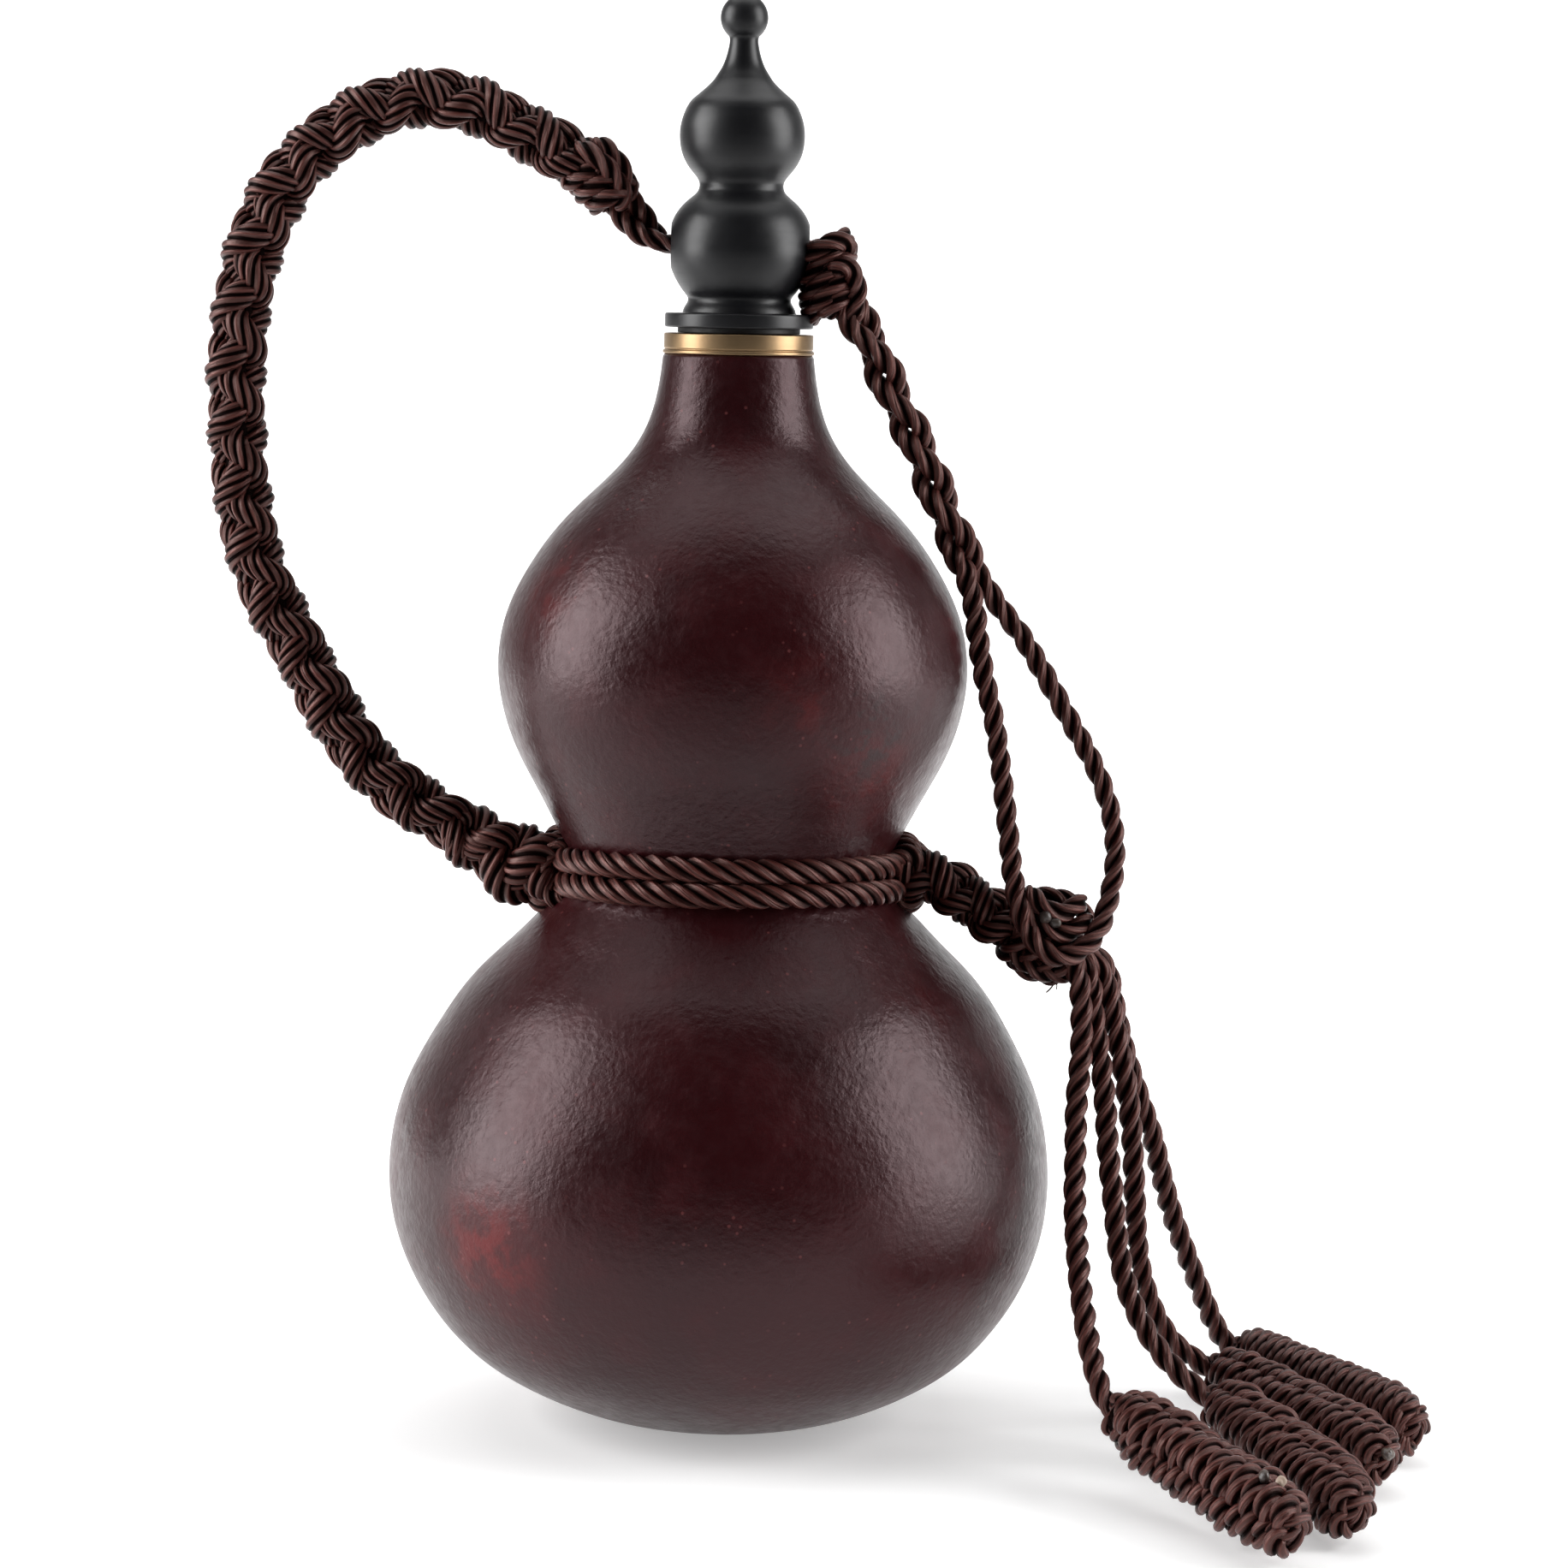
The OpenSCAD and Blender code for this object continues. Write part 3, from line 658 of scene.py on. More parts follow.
tether_line = dense([(18.4, -3.2, 211)] + TETHER + [(21.4, -0.8, 211.4)], smooth=14)
# above the waist the two legs are twisted round each other
near = np.clip((tether_line[:, 2] - 138) / 30, 0, 1)
half = len(tether_line) // 2
legs = [np.arange(len(tether_line)) < half, np.arange(len(tether_line)) >= half]
plain_tether = tether_line.copy()
for own, other in ((0, 1), (1, 0)):
    a = plain_tether[legs[own]]
    b = plain_tether[legs[other]]
    b = b[np.argsort(b[:, 2])]
    high = a[:, 2] > 138
    z = a[high, 2]
    mate = np.stack([np.interp(z, b[:, 2], b[:, 0]), np.interp(z, b[:, 2], b[:, 1]), z], 1)
    mid, arm = 0.5 * (a[high] + mate), 0.5 * (a[high] - mate)
    span = np.linalg.norm(arm, axis=1, keepdims=True)
    k = (np.clip((z - 150) / 14, 0, 1) * np.clip((207 - z) / 4, 0, 1))[:, None]
    arm = unit(arm) * ((1 - k) * span + k * 1.75)
    x = np.clip((z - 162) / 43, 0, 1)
    turn = -2 * TAU * x
    axis = unit(np.array([-17.0, 2.5, 46.0]))
    arm = np.cos(turn)[:, None] * arm + np.sin(turn)[:, None] * np.cross(axis, arm) + (1 - np.cos(turn))[:, None] * (arm @ axis)[:, None] * axis
    a = a.copy()
    a[high] = mid + arm
    tether_line[legs[own]] = a
tether_line = even(tether_line, STEP)
for _ in range(6):
    tether_line[1:-1] = 0.25 * tether_line[:-2] + 0.5 * tether_line[1:-1] + 0.25 * tether_line[2:]
near = np.clip((tether_line[:, 2] - 138) / 30, 0, 1)
made = Made()
cord_into(made, tether_line, 2.06 + 0.16 * near, lead=13.6, sides=10, worn=0.03, seed=21)
tether = made.make("tether_cord_loop", CORD)
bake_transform(tether)
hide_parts("tether_cord")

tassel_cords, tassel_lines = [], []
for i, route in enumerate(TASSEL_CORDS):
    a, b = np.array(TASSELS[i][0]), np.array(TASSELS[i][1])
    into = a + unit(b - a) * 5
    line = dense([(63.2, -9.6, 91.6)] + route + [tuple(into)], smooth=30)
    made = Made()
    cord_into(made, line, 2.16, lead=13.6, phase=i * 1.1, sides=10, worn=0.03, seed=31 + i, groove=0.50)
    ob = made.make(f"tassel_cord_{i + 1}_laid", CORD)
    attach(ob, "bottle")
    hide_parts(f"tassel_cord_{i + 1}")
    tassel_cords.append(ob)
    tassel_lines.append(line)


# ---------------------------------------------------------------- tassels: crown-knotted columns
def tassel(i, layers=15, faces=4, slant=0.8, turn0=0.0, twist=1.0, bight=1.95, reach=50, lead=13.0, dive=2.7, round_=0.9, lean=3.2, loose=1.0, fuller=0.0):
    """A column of crown knots: arched bights of cord, a ring of faces in each layer, their ends tucked in at the corners."""
    a, b = np.array(TASSELS[i][0], float), np.array(TASSELS[i][1], float)
    axis = unit(b - a)
    length = np.linalg.norm(b - a)
    side = unit(np.cross(axis, [0, 0, 1]))
    up = np.cross(side, axis)
    g = np.random.default_rng(50 + i)
    made = Made()
    pitch = (length - 5.4) / layers
    R = 6.95 + fuller
    bow = []
    for k in range(layers):
        z0 = 2.9 + pitch * (k + 0.5)
        grow = 1 - 0.20 * math.exp(-((k / 1.1) ** 2)) - 0.16 * math.exp(-(((layers - 1 - k) / 1.1) ** 2))
        for f in range(faces):
            c = turn0 + math.radians(twist * k + loose * g.uniform(-6, 6)) + TAU * f / faces
            w = math.radians(reach + loose * g.uniform(-5, 5))
            u = np.linspace(-1, 1, 36)
            ang = c + w * u
            rad = R * grow + loose * g.uniform(-0.45, 0.3) - bight - dive * np.abs(u) ** 3
            z = z0 + slant * 0.5 * u + round_ * (1 - u**2) * 0.5 + loose * g.uniform(-0.4, 0.4) + loose * g.uniform(-0.5, 0.5) * u
            z = np.clip(z + lean * np.cos(ang), 2.2, length - 2.2)
            q = a + z[:, None] * axis + rad[:, None] * (np.cos(ang)[:, None] * side + np.sin(ang)[:, None] * up)
            q[:, 2] = np.maximum(q[:, 2], bight * 0.9 + 0.04)
            q = even(q, STEP * 1.1)
            x = np.linspace(-1, 1, len(q))
            r = bight * (1 - 0.10 * np.abs(x) ** 3) * (1 + loose * g.uniform(-0.09, 0.07))
            cord_into(made, q, r, lead=lead, phase=g.uniform(0, 6.28), sides=8, seed=i * 100 + k * 4 + f, groove=0.485)
    # dark core, so that no light passes between the bights; it is coloured near the groove black, as painted shade
    core = np.array([a + axis * x for x in np.linspace(1.8, length - 1.8, 24)])
    cord_into(made, core, 3.9, plies=1, sides=20, seed=i)
    made.deep[-1][:] = 0.1
    # loops over each end
    for end, base in ((0, 2.6), (1, length - 2.9)):
        for j, turn in enumerate((0.5, 1.5, 2.5) if end else (0.9, 2.3)):
            u = np.linspace(-1, 1, 30)
            d = math.cos(turn) * side + math.sin(turn) * up
            e = np.cross(axis, d)
            lift = (2.0 + 0.5 * j) * (1 - u**2)
            z = base + (1 if end else -1) * (lift - 1.6)
            off = 3.9 * u[:, None] * d + (1.5 * (j - 1)) * (1 - u[:, None] ** 2) * e
            q = a + z[:, None] * axis + off
            q[:, 2] = np.maximum(q[:, 2], bight * 0.9 + 0.04)
            cord_into(made, even(q, STEP * 1.1), bight * 0.93, lead=lead, phase=j, sides=8, seed=900 + i * 10 + j, groove=0.485)
    ob = made.make(f"tassel_{i + 1}_knotted", CORD)
    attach(ob, "bottle")
    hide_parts(f"tassel_{i + 1}")
    return ob


tassels = [
    tassel(0, layers=14, turn0=0.80, bight=2.1, reach=48, fuller=0.5),
    tassel(1, layers=16, turn0=0.50, bight=1.85, fuller=0.35),
    tassel(2, layers=17, turn0=0.40, bight=1.75),
    tassel(3, layers=19, faces=2, turn0=1.35, slant=0.4, twist=0.3, bight=1.66, reach=96, dive=1.4, round_=0.2, lean=5.2, loose=0.6),
]


# ---------------------------------------------------------------- knots
def soft_line(q, passes=6):
    q = even(q, STEP)
    for _ in range(passes):
        q[1:-1] = 0.25 * q[:-2] + 0.5 * q[1:-1] + 0.25 * q[2:]
    return q


def loop(made, points, r=1.95, lead=13.0, seed=0, smooth=6, **kw):
    """One visible strand of a knot, through the given points."""
    cord_into(made, dense(points, smooth=smooth), r, lead=lead, sides=9, seed=seed, groove=0.485, worn=0.03, **kw)


def ring(made, centre, axis, a, b, r=1.95, toward=(0, 0, 1), lead=13.0, seed=0, lean=0.0):
    """A closed turn of cord: an ellipse round axis, a along the side and b along toward, its far half leaned along the axis."""
    ax = unit(np.array(axis, float))
    up = unit(np.array(toward, float) - (np.array(toward, float) @ ax) * ax)
    side = np.cross(up, ax)
    th = np.linspace(0, TAU, 160)
    q = np.array(centre, float) + a * np.cos(th)[:, None] * side + b * np.sin(th)[:, None] * up + lean * np.sin(th)[:, None] * ax
    cord_into(made, even(q, STEP), r, lead=lead, closed=True, sides=9, seed=seed, groove=0.485)


def coil(made, centre, axis, turns, pitch, a, b, r=1.95, toward=(0, 0, 1), start=0.0, hand=1, lead=13.0, seed=0, bulge=0.0, lean=0.0, tuck=0.4, tilt=0.0):
    """A cord wound round an axis; both its ends are tucked in."""
    ax = unit(np.array(axis, float))
    up = unit(np.array(toward, float) - (np.array(toward, float) @ ax) * ax)
    side = np.cross(up, ax)
    th = np.linspace(0, TAU * turns, int(turns * 70))
    x = (th / TAU - turns / 2) * pitch
    w = 1 + bulge * (1 - (2 * x / max(turns * pitch, 1e-6)) ** 2)
    ang = hand * th + start
    off = (w * a * np.cos(ang))[:, None] * side + (w * b * np.sin(ang))[:, None] * up
    q = np.array(centre, float) + x[:, None] * ax + off + (lean * np.sin(ang) - tilt * np.cos(ang))[:, None] * ax
    for e in (0, -1):
        q[e] = np.array(centre) + (x[e] * 0.8) * ax + off[e] * tuck
    cord_into(made, soft_line(q), r, lead=lead, sides=9, seed=seed, groove=0.485, worn=0.03)


# knot at the stopper's right side
made = Made()
coil(made, (16.5, -1.0, 214.2), (0.10, -0.06, -0.99), 3.3, 3.1, 3.9, 4.4, r=1.95, toward=(0, -1, 0), hand=1, seed=61, bulge=0.1, tilt=3.3)
loop(made, [(12.4, -2.8, 218.6), (13.6, -5.2, 220.0), (16.6, -6.0, 221.6), (19.4, -4.8, 221.8), (20.6, -2.2, 219.6)], r=1.9, seed=63)
loop(made, [(16.4, -6.6, 216.2), (18.6, -6.8, 217.4), (20.8, -5.8, 216.4), (21.8, -4.6, 213.0), (21.4, -4.4, 209.0), (21.2, -4.6, 206.4)], r=1.9, seed=65)
loop(made, [(12.6, 1.6, 220.0), (15.6, 4.2, 220.6), (19.0, 4.4, 218.4), (20.6, 3.0, 214.2), (20.4, 1.2, 210.0)], r=1.9, seed=64)
for y in (-1.95, 1.95):
    cord_into(made, dense([(8, y, 220.6), (12, y, 220.6), (14.4, y * 1.1, 220.2), (16.6, y, 218.4)], smooth=4), 1.85, lead=12.6, sides=9, seed=66)
knot = made.make("stopper_knot_tied", CORD)
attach(knot, "stopper")
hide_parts("stopper_knot")

# two cords through the stopper and out to the handle's top knot; outside they twist round each other
outside = even(dense([(-28.0, 0, 234.2)] + HANDLE_END + [(-12.6, 0, 220.7), (-9, 0, 220.6), (-4, 0, 220.6)], smooth=10), STEP)
for side, label in ((-1, "front"), (1, "rear")):
    made = Made()
    t_ = unit(np.gradient(outside, axis=0))
    s_ = lengths(outside)
    turn = math.radians(205) * (1 - np.clip(s_ / max(s_[outside[:, 0] < -14.5][-1], 1e-6), 0, 1))
    base = np.cross(t_, np.array([0, 1.0, 0]))
    pinch = 1.93 - 0.25 * np.clip((-outside[:, 0] - 14.5) / 3, 0, 1)
    off = side * pinch[:, None] * (np.cos(turn)[:, None] * np.array([0, 1.0, 0]) + np.sin(turn)[:, None] * base)
    cord_into(made, outside + off, 1.92 + 0.22 * np.clip((-outside[:, 0] - 14.5) / 3, 0, 1), lead=12.6, phase=side, sides=9, seed=70 + side, worn=0.02)
    ob = made.make(f"handle_cord_{label}_laid", CORD)
    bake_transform(ob)
    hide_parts(f"handle_cord_{label}")
    made = Made()
    q = dense([(-5, side * 1.95, 220.6), (0, side * 1.95, 220.6), (5, side * 1.95, 220.6), (9, side * 1.95, 220.6)])
    cord_into(made, q, CORD_R, lead=12.6, phase=side, sides=9, seed=72 + side)
    ob = made.make(f"stopper_cord_{label}_laid", CORD)
    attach(ob, "stopper")
    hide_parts(f"stopper_cord_{label}")

# knot at the top end of the handle
made = Made()
coil(made, (-26.0, -0.2, 231.6), (0.70, 0, -0.71), 2.6, 2.9, 3.5, 4.0, r=1.95, toward=(0, -1, 0), hand=1, seed=75, bulge=0.1, tilt=-1.6)
loop(made, [(-30.8, -3.4, 238.4), (-27.6, -5.4, 237.0), (-24.0, -5.2, 233.8), (-21.8, -3.2, 229.8), (-22.4, -0.6, 227.0)], r=1.95, seed=77)
loop(made, [(-27.8, -2.6, 239.4), (-24.8, -3.4, 238.0), (-22.2, -3.2, 234.8), (-20.8, -2.2, 231.4), (-21.2, -0.6, 228.6)], r=1.85, seed=78)
top_knot = made.make("handle_top_knot_tied", CORD)
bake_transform(top_knot)
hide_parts("handle_top_knot")

# two turns of cord round the waist, higher at the front
TILT = math.radians(-4)


def band_line(dz, r=31.5, wave=0.0):
    th = np.linspace(0, TAU, 700)
    x, y = r * np.cos(th), r * np.sin(th)
    z = np.full_like(th, dz) + wave * np.sin(3 * th + dz)
    return np.stack([x, y * math.cos(TILT) - z * math.sin(TILT), 103.4 + y * math.sin(TILT) + z * math.cos(TILT)], 1)


for label, dz in (("upper", 2.3), ("lower", -2.3)):
    made = Made()
    cord_into(made, band_line(dz, wave=0.15), 2.44, lead=16.5, closed=True, phase=dz, plies=4, sides=10, seed=80, groove=0.428)
    ob = made.make(f"waist_cord_{label}_laid", CORD)
    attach(ob, "bottle")
    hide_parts(f"waist_cord_{label}")

# where the handle is tied round the waist cords: turns over both cords, under the braid's spread end
made = Made()
for j, (y, lean, a, b) in enumerate(((-6.4, 0.9, 3.0, 5.0), (-3.2, 0.8, 3.6, 5.8), (0.2, 0.4, 4.2, 6.4), (3.6, -0.4, 4.2, 6.4))):
    ring(made, (-30.8 - 0.9 * math.cos(y / 6), y, 103.5), (0.05 + 0.02 * y, 1, 0), a, b, r=1.9, seed=84 + j, lean=lean)
spread = dense([(-31.6, -3.4, 102.2), (-36.4, -1.6, 103.4), (-41.0, -0.6, 105.0), (-46.5, 0, 108.1), (-53.5, 0, 112.1)], smooth=20)
braid_into(made, spread, 5.95, 20.0, cord=2.5, phase=2.2, flat=((0, 1, 0), 0.22), seed=131,
           scale=lambda s: np.interp(s, [0, 6, 12, 18, 23, 27], [1.56, 1.50, 1.32, 1.14, 0.98, 0.8]))
waist_knot = made.make("waist_knot_tied", CORD)
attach(waist_knot, "bottle")
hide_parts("waist_knot")

# short braid at the right; its cords go round the waist cords too
made = Made()
tail_line = dense([(30.6, -2.2, 105.4)] + TAIL + [(58.2, -7.9, 93.4)], smooth=12)
braid_into(made, tail_line, 5.8, 17.5, cord=2.5, phase=2.36, lead=14, seed=100, scale=lambda s: 1 + 0.08 * np.exp(-((s / 7.0) ** 2)))
for j, (y, lean, a, b) in enumerate(((-5.0, -0.6, 3.0, 4.8), (-1.8, -0.8, 3.6, 5.6), (1.4, -0.4, 3.8, 5.8), (4.6, 0.6, 3.8, 5.8))):
    ring(made, (32.4 + 0.6 * math.cos(y / 6), y, 103.6), (-0.05, 1, 0), a, b, r=1.9, seed=104 + j, lean=lean)
tail = made.make("tail_braid_laid", CORD)
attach(tail, "bottle")
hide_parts("tail_braid")

# knot at the end of that braid; the tether's bight runs round its front
made = Made()
coil(made, (59.2, -6.6, 92.4), (0.88, -0.08, -0.46), 3.6, 3.1, 4.9, 4.9, r=2.0, toward=(0, 0, 1), start=0.8, hand=-1, seed=110, bulge=0.12, lean=0.9)
loop(made, [(53.2, -9.4, 101.4), (56.2, -12.2, 97.6), (60.2, -13.2, 94.9), (64.4, -12.0, 95.4), (67.6, -9.0, 98.0)], r=1.95, seed=112)
loop(made, [(55.4, -9.6, 103.0), (58.0, -11.8, 100.2), (61.4, -12.4, 98.6), (64.6, -10.8, 99.6), (66.2, -8.2, 101.2)], r=1.9, seed=113)
loop(made, [(52.8, -9.0, 93.6), (54.8, -10.6, 89.8), (58.8, -11.0, 87.4), (62.8, -10.4, 87.0), (66.0, -8.0, 88.6)], r=2.0, seed=114)
loop(made, [(52.8, -5.0, 89.8), (55.8, -6.6, 87.2), (60.0, -6.8, 86.2), (64.4, -5.6, 87.0), (67.8, -3.6, 90.6), (67.6, -2.0, 94.0)], r=2.0, seed=116)
loop(made, [(56.0, -4.2, 99.8), (60.4, -5.0, 100.8), (65.0, -4.6, 99.0), (68.0, -3.4, 95.4), (68.0, -2.0, 91.4)], r=1.95, seed=115)
tail_knot = made.make("tail_knot_tied", CORD)
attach(tail_knot, "bottle")
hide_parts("tail_knot")


def melted(name, centre, direction, size, mat=None):
    """A cord end melted with a flame: a small lumpy cap."""
    import bmesh

    bm = bmesh.new()
    bmesh.ops.create_icosphere(bm, subdivisions=4, radius=1.0)
    g = np.random.default_rng(len(name) + int(abs(centre[0])))
    k = g.normal(size=(5, 3)) * 2.2
    ph = g.uniform(0, 6, 5)
    d = unit(np.array(direction, float))
    s = unit(np.cross(d, [0.1, 0.3, 1]))
    u = np.cross(s, d)
    for v in bm.verts:
        p = np.array(v.co)
        f = 1 + 0.10 * sum(math.sin(float(k[i] @ p) + ph[i]) for i in range(5)) / 1.6
        p = p * f
        v.co = Vector((np.array(centre) + size * (0.75 * p[2] * d + p[0] * s + 0.9 * p[1] * u)) * 0.001)
    me = bpy.data.meshes.new(name)
    bm.to_mesh(me)
    bm.free()
    me.polygons.foreach_set("use_smooth", np.full(len(me.polygons), True))
    me.materials.append(mat or BURNT)
    ob = bpy.data.objects.new(name, me)
    bpy.context.scene.collection.objects.link(ob)
    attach(ob, "bottle")
    return ob


TIP1, TIP1B, TIP3 = (96.3, -98.8, 14.4), (93.5, -97.0, 14.6), (120.1, -56.5, 8.5)
tips = [
    melted("melted_tip_knot", (59.0, -13.6, 98.0), (-1, -0.4, -0.2), 1.35),
    melted("melted_tip_tassel_1", TIP1, (0.9, -0.3, -0.2), 1.25, TAN),
    melted("melted_tip_tassel_1_grey", TIP1B, (-0.9, 0.1, 0.2), 1.3),
    melted("melted_tip_tassel_3", TIP3, (0.9, -0.2, -0.3), 1.5),
    melted("melted_tip_knot_low", (60.8, -13.9, 96.9), (-0.4, -1, 0.1), 1.1),
]

# loose thread under the knot
made = Made()
cord_into(made, dense([(60.6, -10.4, 86.6), (61.0, -11.0, 85.2), (60.4, -11.2, 84.2), (59.6, -11.0, 83.4)], 0.15, smooth=3), 0.16, plies=1, sides=8, seed=5)
cord_into(made, dense([(60.9, -10.6, 86.4), (61.6, -11.2, 85.0), (61.5, -11.3, 84.0)], 0.15, smooth=2), 0.12, plies=1, sides=8, seed=6)
thread = made.make("loose_thread", FRAY)
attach(thread, "bottle")


# ---------------------------------------------------------------- gourd
OUTLINE = [(17, 0), (21, 0.5), (26, 1.7), (31, 3.5), (36, 5.7), (41, 8.4), (45.6, 11.4), (49.4, 14.8),
           (52.6, 18.6), (55.7, 23), (58.5, 28.3), (60.8, 34.5), (62.1, 41), (62.3, 48), (61.4, 55.5),
           (59.4, 62.8), (56.2, 69.5), (52.8, 75.5), (49.4, 81), (45, 86), (39.4, 91.2), (35.6, 95.6),
           (31.2, 99.4), (29.2, 103.5), (30, 107.5), (32.7, 112), (35.4, 117.6), (39.1, 124),
           (42, 130.4), (43.7, 137), (44.3, 142.5), (43.6, 149), (41.9, 154.5), (39, 160), (35.1, 166),
           (30.6, 171.2), (25.7, 175.8), (21.4, 180), (18, 184.5), (16, 189), (14.7, 194.5), (14, 200.7)]


def gourd():
    q = dense([(r, 0, z) for r, z in OUTLINE], 0.6)
    for _ in range(60):
        q[1:-1] = 0.25 * q[:-2] + 0.5 * q[1:-1] + 0.25 * q[2:]
    line = [(a[0], a[2]) for a in q]
    base = [(0, 0), (6, 0), (12, 0), (16, 0), (16.8, 0)]
    top = [(13.75, 200.7), (10.05, 200.7), (10.05, 190), (10.05, 179.7)]
    h = unit(np.gradient(q, axis=0))
    inner = [(q[i][0] - 4 * h[i][2], q[i][2] + 4 * h[i][0]) for i in range(len(q) - 1, -1, -6)]
    inner = [p for p in inner if 4.6 < p[1] < 178 and p[0] > 10]
    prof = base + line[1:-1] + top + inner + [(10, 4), (0, 4)]

    def wobble(v):
        r = np.hypot(v[:, 0], v[:, 1])
        th = np.arctan2(v[:, 1], v[:, 0])
        z = v[:, 2]
        keep = np.clip((z - 4) / 14, 0, 1) * np.clip((184 - z) / 14, 0, 1)
        waist = 1 - np.exp(-(((z - 103.5) / 9) ** 2))
        k = keep * waist
        soft = (
            0.45 * np.sin(2 * th + 0.7 + z / 46)
            + 0.28 * np.sin(3 * th - 1.1 + z / 31)
            + 0.16 * np.sin(5 * th + 2.1 - z / 22)
            + 0.14 * np.sin(7 * th + z / 13)
            + 0.10 * np.sin(4 * th + z / 8.5)
        )
        f = 1 + k * soft * 0.45 / np.maximum(r, 10)
        x, y = v[:, 0] * f, v[:, 1] * f
        lobe = np.exp(-(((z - 48) / 34) ** 2))
        return np.stack([x - 1.0 * keep * lobe, y, z], 1)

    ob = lathe("gourd_body", prof, LACQUER, segs=360, wobble=wobble)
    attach(ob, "bottle")
    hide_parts("gourd_shell")
    return ob


gourd()

# ---------------------------------------------------------------- stopper, turned
def ball_arc(r, z, a0, a1, step=2.0):
    n = int(abs(a1 - a0) / step) + 1
    return [(r * math.cos(math.radians(a)), z + r * math.sin(math.radians(a))) for a in np.linspace(a0, a1, n)]


F = 205.6
foot = arcs([(0, F), (13.8, F), (13.8, F + 2.62), (10.55, F + 2.68), (10.42, F + 3.3)], [0, 0.35, 0.4, 0.25], 6)
turned = dense(
    [(r, 0, z) for r, z in [
        (10.42, 208.9), (10.15, 209.5), (9.8, 210.0), (9.55, 210.6), (9.62, 211.1), (9.95, 211.6), (10.55, 212.3), (11.55, 213.8), (12.4, 215.4),
        (13.0, 217.0), (13.4, 218.8), (13.5, 220.6), (13.35, 222.6), (12.95, 224.4), (12.42, 225.8), (11.85, 226.8), (11.1, 227.8), (10.2, 228.75),
        (9.2, 229.6), (8.45, 230.25), (8.02, 230.8), (7.82, 231.4), (7.78, 232.0), (7.92, 232.6), (8.35, 233.3), (9.1, 234.2), (9.85, 235.15),
        (10.55, 236.3), (11.1, 237.6), (11.45, 239.1), (11.6, 240.9), (11.5, 242.5), (11.15, 244.1), (10.55, 245.7), (10.05, 246.65), (9.5, 247.4),
        (8.8, 248.05), (7.8, 248.9), (6.9, 249.7), (6.1, 250.45), (5.4, 251.25), (4.85, 252.1), (4.3, 252.95), (3.85, 253.8), (3.5, 254.65),
        (3.2, 255.55), (2.95, 256.5), (2.75, 257.5), (2.62, 258.4), (2.72, 259.0)]], 0.22)
for _ in range(3):
    turned[1:-1] = 0.25 * turned[:-2] + 0.5 * turned[1:-1] + 0.25 * turned[2:]
profile = foot[:-1] + [(x[0], x[2]) for x in turned] + ball_arc(4.4, 262.6, -50, 88, 4) + [(0, 267.0)]
stopper = lathe("stopper_turned", profile, BLACK, segs=256)
bpy.context.view_layer.update()
bpy.ops.mesh.primitive_cylinder_add(vertices=96, radius=0.0042, depth=0.06, location=(0, 0, 0.2206), rotation=(0, math.pi / 2, 0))
drill = bpy.context.object
mod = stopper.modifiers.new("cross_hole", "BOOLEAN")
mod.operation = "DIFFERENCE"
mod.solver = "EXACT"
mod.object = drill
dg = bpy.context.evaluated_depsgraph_get()
cut = bpy.data.meshes.new_from_object(stopper.evaluated_get(dg))
stopper.modifiers.clear()
stopper.data = cut
bpy.data.objects.remove(drill)
for f in cut.polygons:
    f.use_smooth = True
try:
    cut.set_sharp_from_angle(angle=math.radians(38))
except AttributeError:
    pass
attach(stopper, "stopper")
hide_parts("stopper_body")

# brass collar
z0 = 200.7
ring = lathe(
    "brass_collar",
    arcs([(8.6, z0), (13.6, z0), (14.1, z0 + 0.12), (14.1, z0 + 0.62), (13.72, z0 + 0.86), (13.9, z0 + 1.15), (13.9, z0 + 3.8), (8.6, z0 + 3.8), (8.6, z0)],
         [0, 0.15, 0.2, 0.2, 0.1, 0.12, 0.3, 0.3], 5),
    BRASS, segs=256)
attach(ring, "bottle")
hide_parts("brass_ring")
try:
    ring.data.set_sharp_from_angle(angle=math.radians(40))
except AttributeError:
    pass

gasket = lathe("gasket_ring", arcs([(7.6, 204.6), (11.4, 204.6), (11.4, 205.6), (7.6, 205.6), (7.6, 204.6)], [0, 0.2, 0.1, 0], 4), RUBBER, segs=128)
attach(gasket, "stopper")
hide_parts("stopper_gasket")


def finish_node(name, mat, slot_name=None):
    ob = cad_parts[name]
    for i in range(max(1, len(ob.material_slots))):
        if len(ob.material_slots) <= i:
            ob.data.materials.append(mat)
        else:
            ob.material_slots[i].material = mat


finish_node("mouth_bush", WOOD)
finish_node("stopper_plug", WOOD)
finish_node("wax_lining", WAX)
finish_node("o_ring_upper", RUBBER)
finish_node("o_ring_lower", RUBBER)


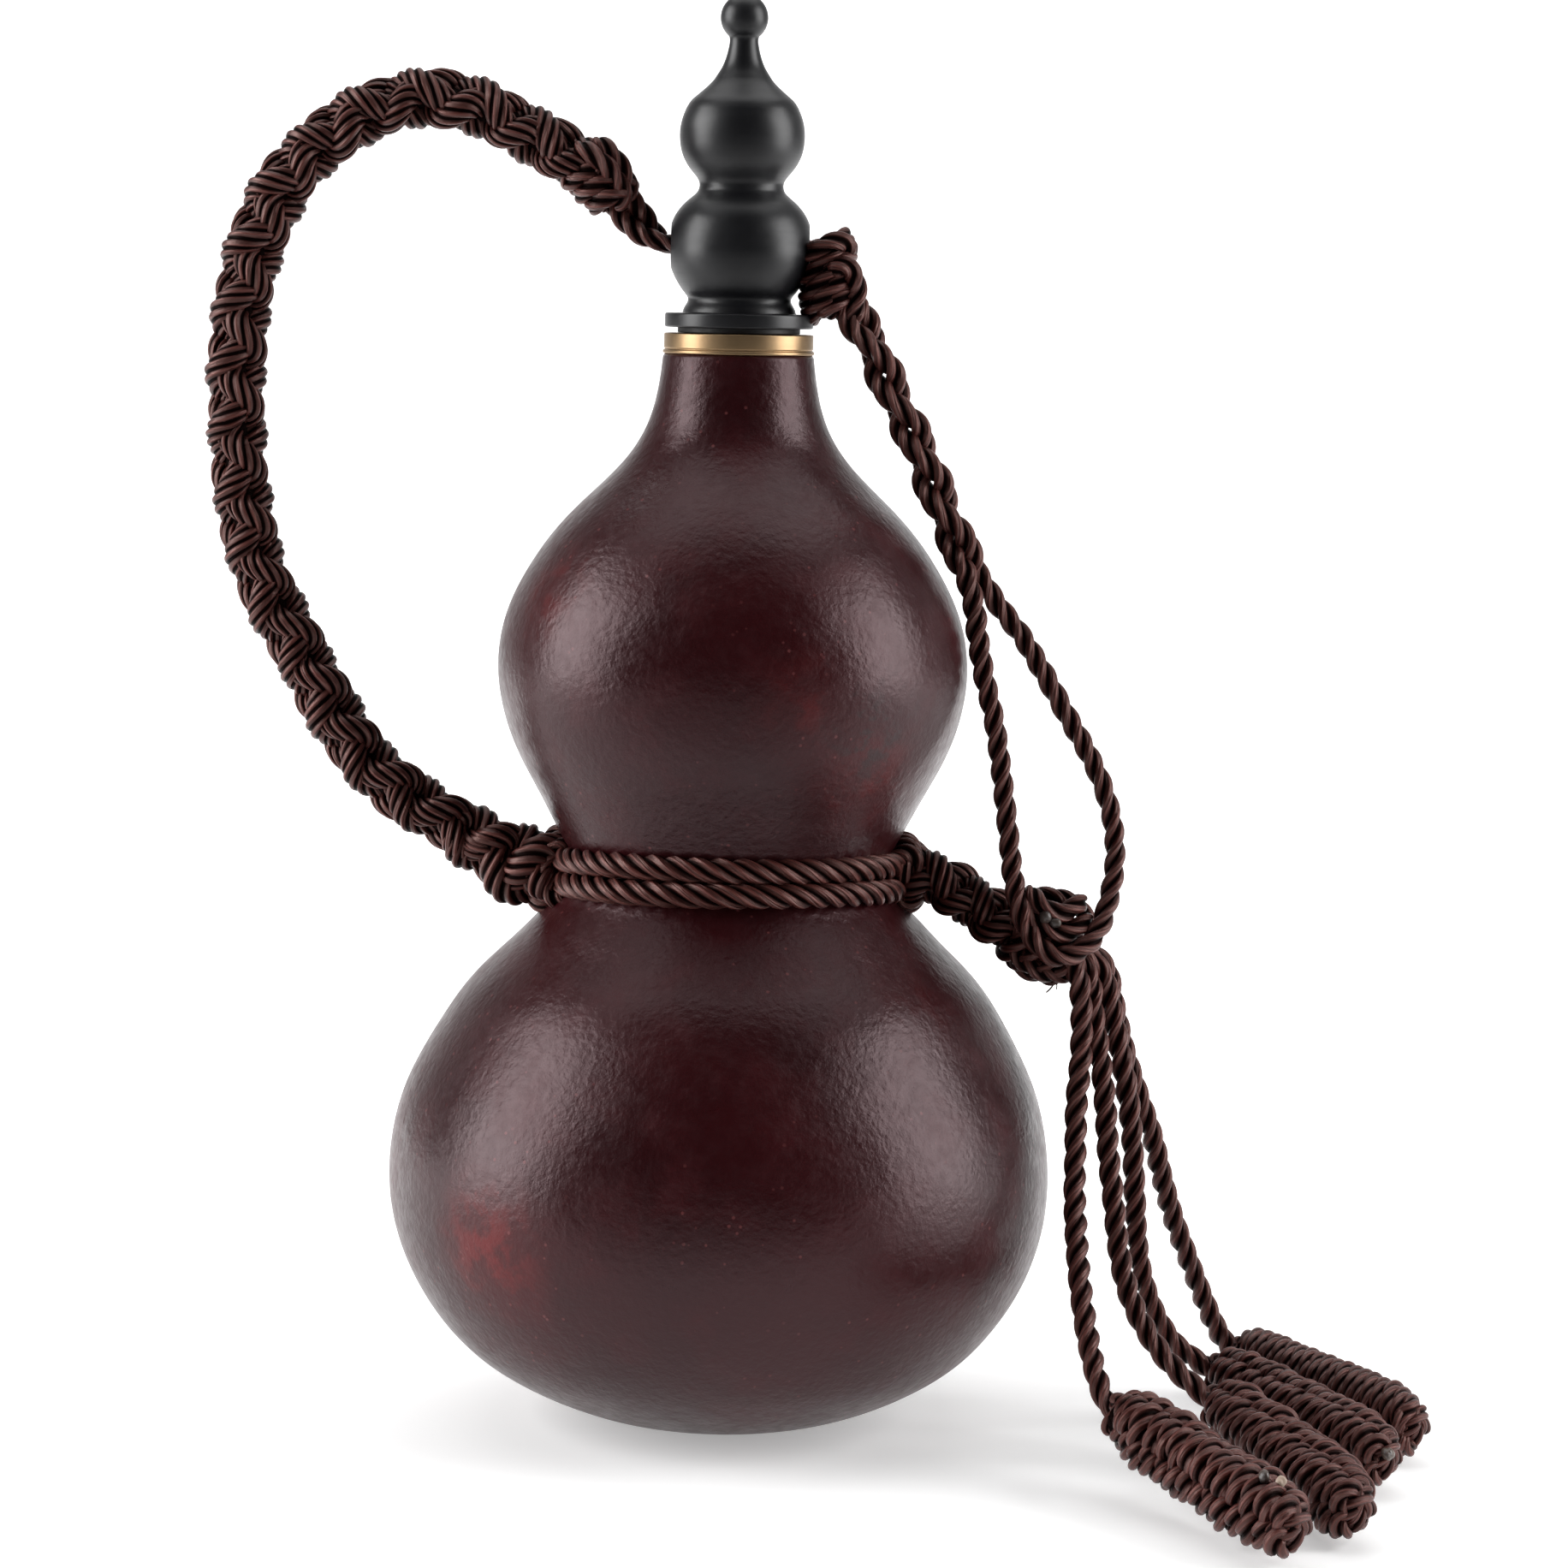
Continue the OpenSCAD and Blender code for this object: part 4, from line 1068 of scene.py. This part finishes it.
# ---------------------------------------------------------------- floor, light
def cyclorama():
    pts = [(-2.6, 0.0)]
    r = 0.9
    back = 1.5
    for a in np.linspace(0, 90, 25):
        pts.append((back + r * math.sin(math.radians(a)), r * (1 - math.cos(math.radians(a)))))
    pts.append((back + r, 3.2))
    xs = (-3.5, 3.5)
    verts = [(x, y, z) for x in xs for y, z in pts]
    n = len(pts)
    faces = [(i, i + 1, n + i + 1, n + i) for i in range(n - 1)]
    me = bpy.data.meshes.new("floor")
    me.from_pydata(verts, [], faces)
    for f in me.polygons:
        f.use_smooth = True
    m, nt, p = material("pale_floor")
    p.inputs["Roughness"].default_value = 0.85
    p.inputs["Specular IOR Level"].default_value = 0.1
    p.inputs["Emission Color"].default_value = (1, 1, 1, 1)
    pos = nt.nodes.new("ShaderNodeTexCoord").outputs["Object"]
    sep = nt.nodes.new("ShaderNodeSeparateXYZ")
    nt.links.new(pos, sep.inputs[0])
    # painted light: the floor and backdrop glow by themselves, none under and in front of the bottle, most towards the
    # back, less at the sides and higher up
    near_by = ramp(nt, sep.outputs["Y"], -0.22, -0.08, 0.0, 0.32)
    far = ramp(nt, sep.outputs["Y"], -0.09, 0.5, 0.0, 0.6)
    side = ramp(nt, math_node(nt, "ABSOLUTE", sep.outputs["X"]), 0.65, 1.5, 1.0, 0.30)
    high = ramp(nt, sep.outputs["Z"], 0.5, 1.6, 1.0, 0.40)
    painted_glow = math_node(nt, "MULTIPLY", math_node(nt, "ADD", near_by, far), math_node(nt, "MULTIPLY", side, high))
    nt.links.new(painted_glow, p.inputs["Emission Strength"])
    # painted shade: the floor is coloured darker grey in front of the bottle, as light falling off
    nt.links.new(mix_colour(nt, ramp(nt, sep.outputs["Y"], -0.28, -0.11), (0.50, 0.50, 0.50), (0.86, 0.86, 0.86)), p.inputs["Base Color"])
    me.materials.append(m)
    ob = bpy.data.objects.new("floor", me)
    bpy.context.scene.collection.objects.link(ob)


cyclorama()


def area(name, at, target, size, power, colour=(1, 1, 1), spread=180):
    d = bpy.data.lights.new(name, "AREA")
    d.shape = "RECTANGLE"
    d.size, d.size_y = size
    d.energy = power
    d.color = colour
    d.spread = math.radians(spread)
    ob = bpy.data.objects.new(name, d)
    bpy.context.scene.collection.objects.link(ob)
    ob.location = at
    ob.rotation_mode = "QUATERNION"
    ob.rotation_quaternion = (Vector(target) - Vector(at)).to_track_quat("-Z", "Y")
    return ob


area("key_left", (-1.0, -0.15, 0.42), (0, 0, 0.13), (0.72, 1.05), 17.0)
area("key_right", (1.0, -0.15, 0.42), (0, 0, 0.13), (0.66, 1.05), 13.5)
area("top", (0, 0.30, 1.45), (0, 0.1, 0.0), (1.8, 1.3), 12)
world = bpy.data.worlds.new("studio")
bpy.context.scene.world = world
world.use_nodes = True
bg = world.node_tree.nodes["Background"]
bg.inputs["Color"].default_value = (1, 1, 1, 1)
bg.inputs["Strength"].default_value = 0.04
bpy.context.scene.view_settings.view_transform = "Standard"
bpy.context.scene.view_settings.look = "None"
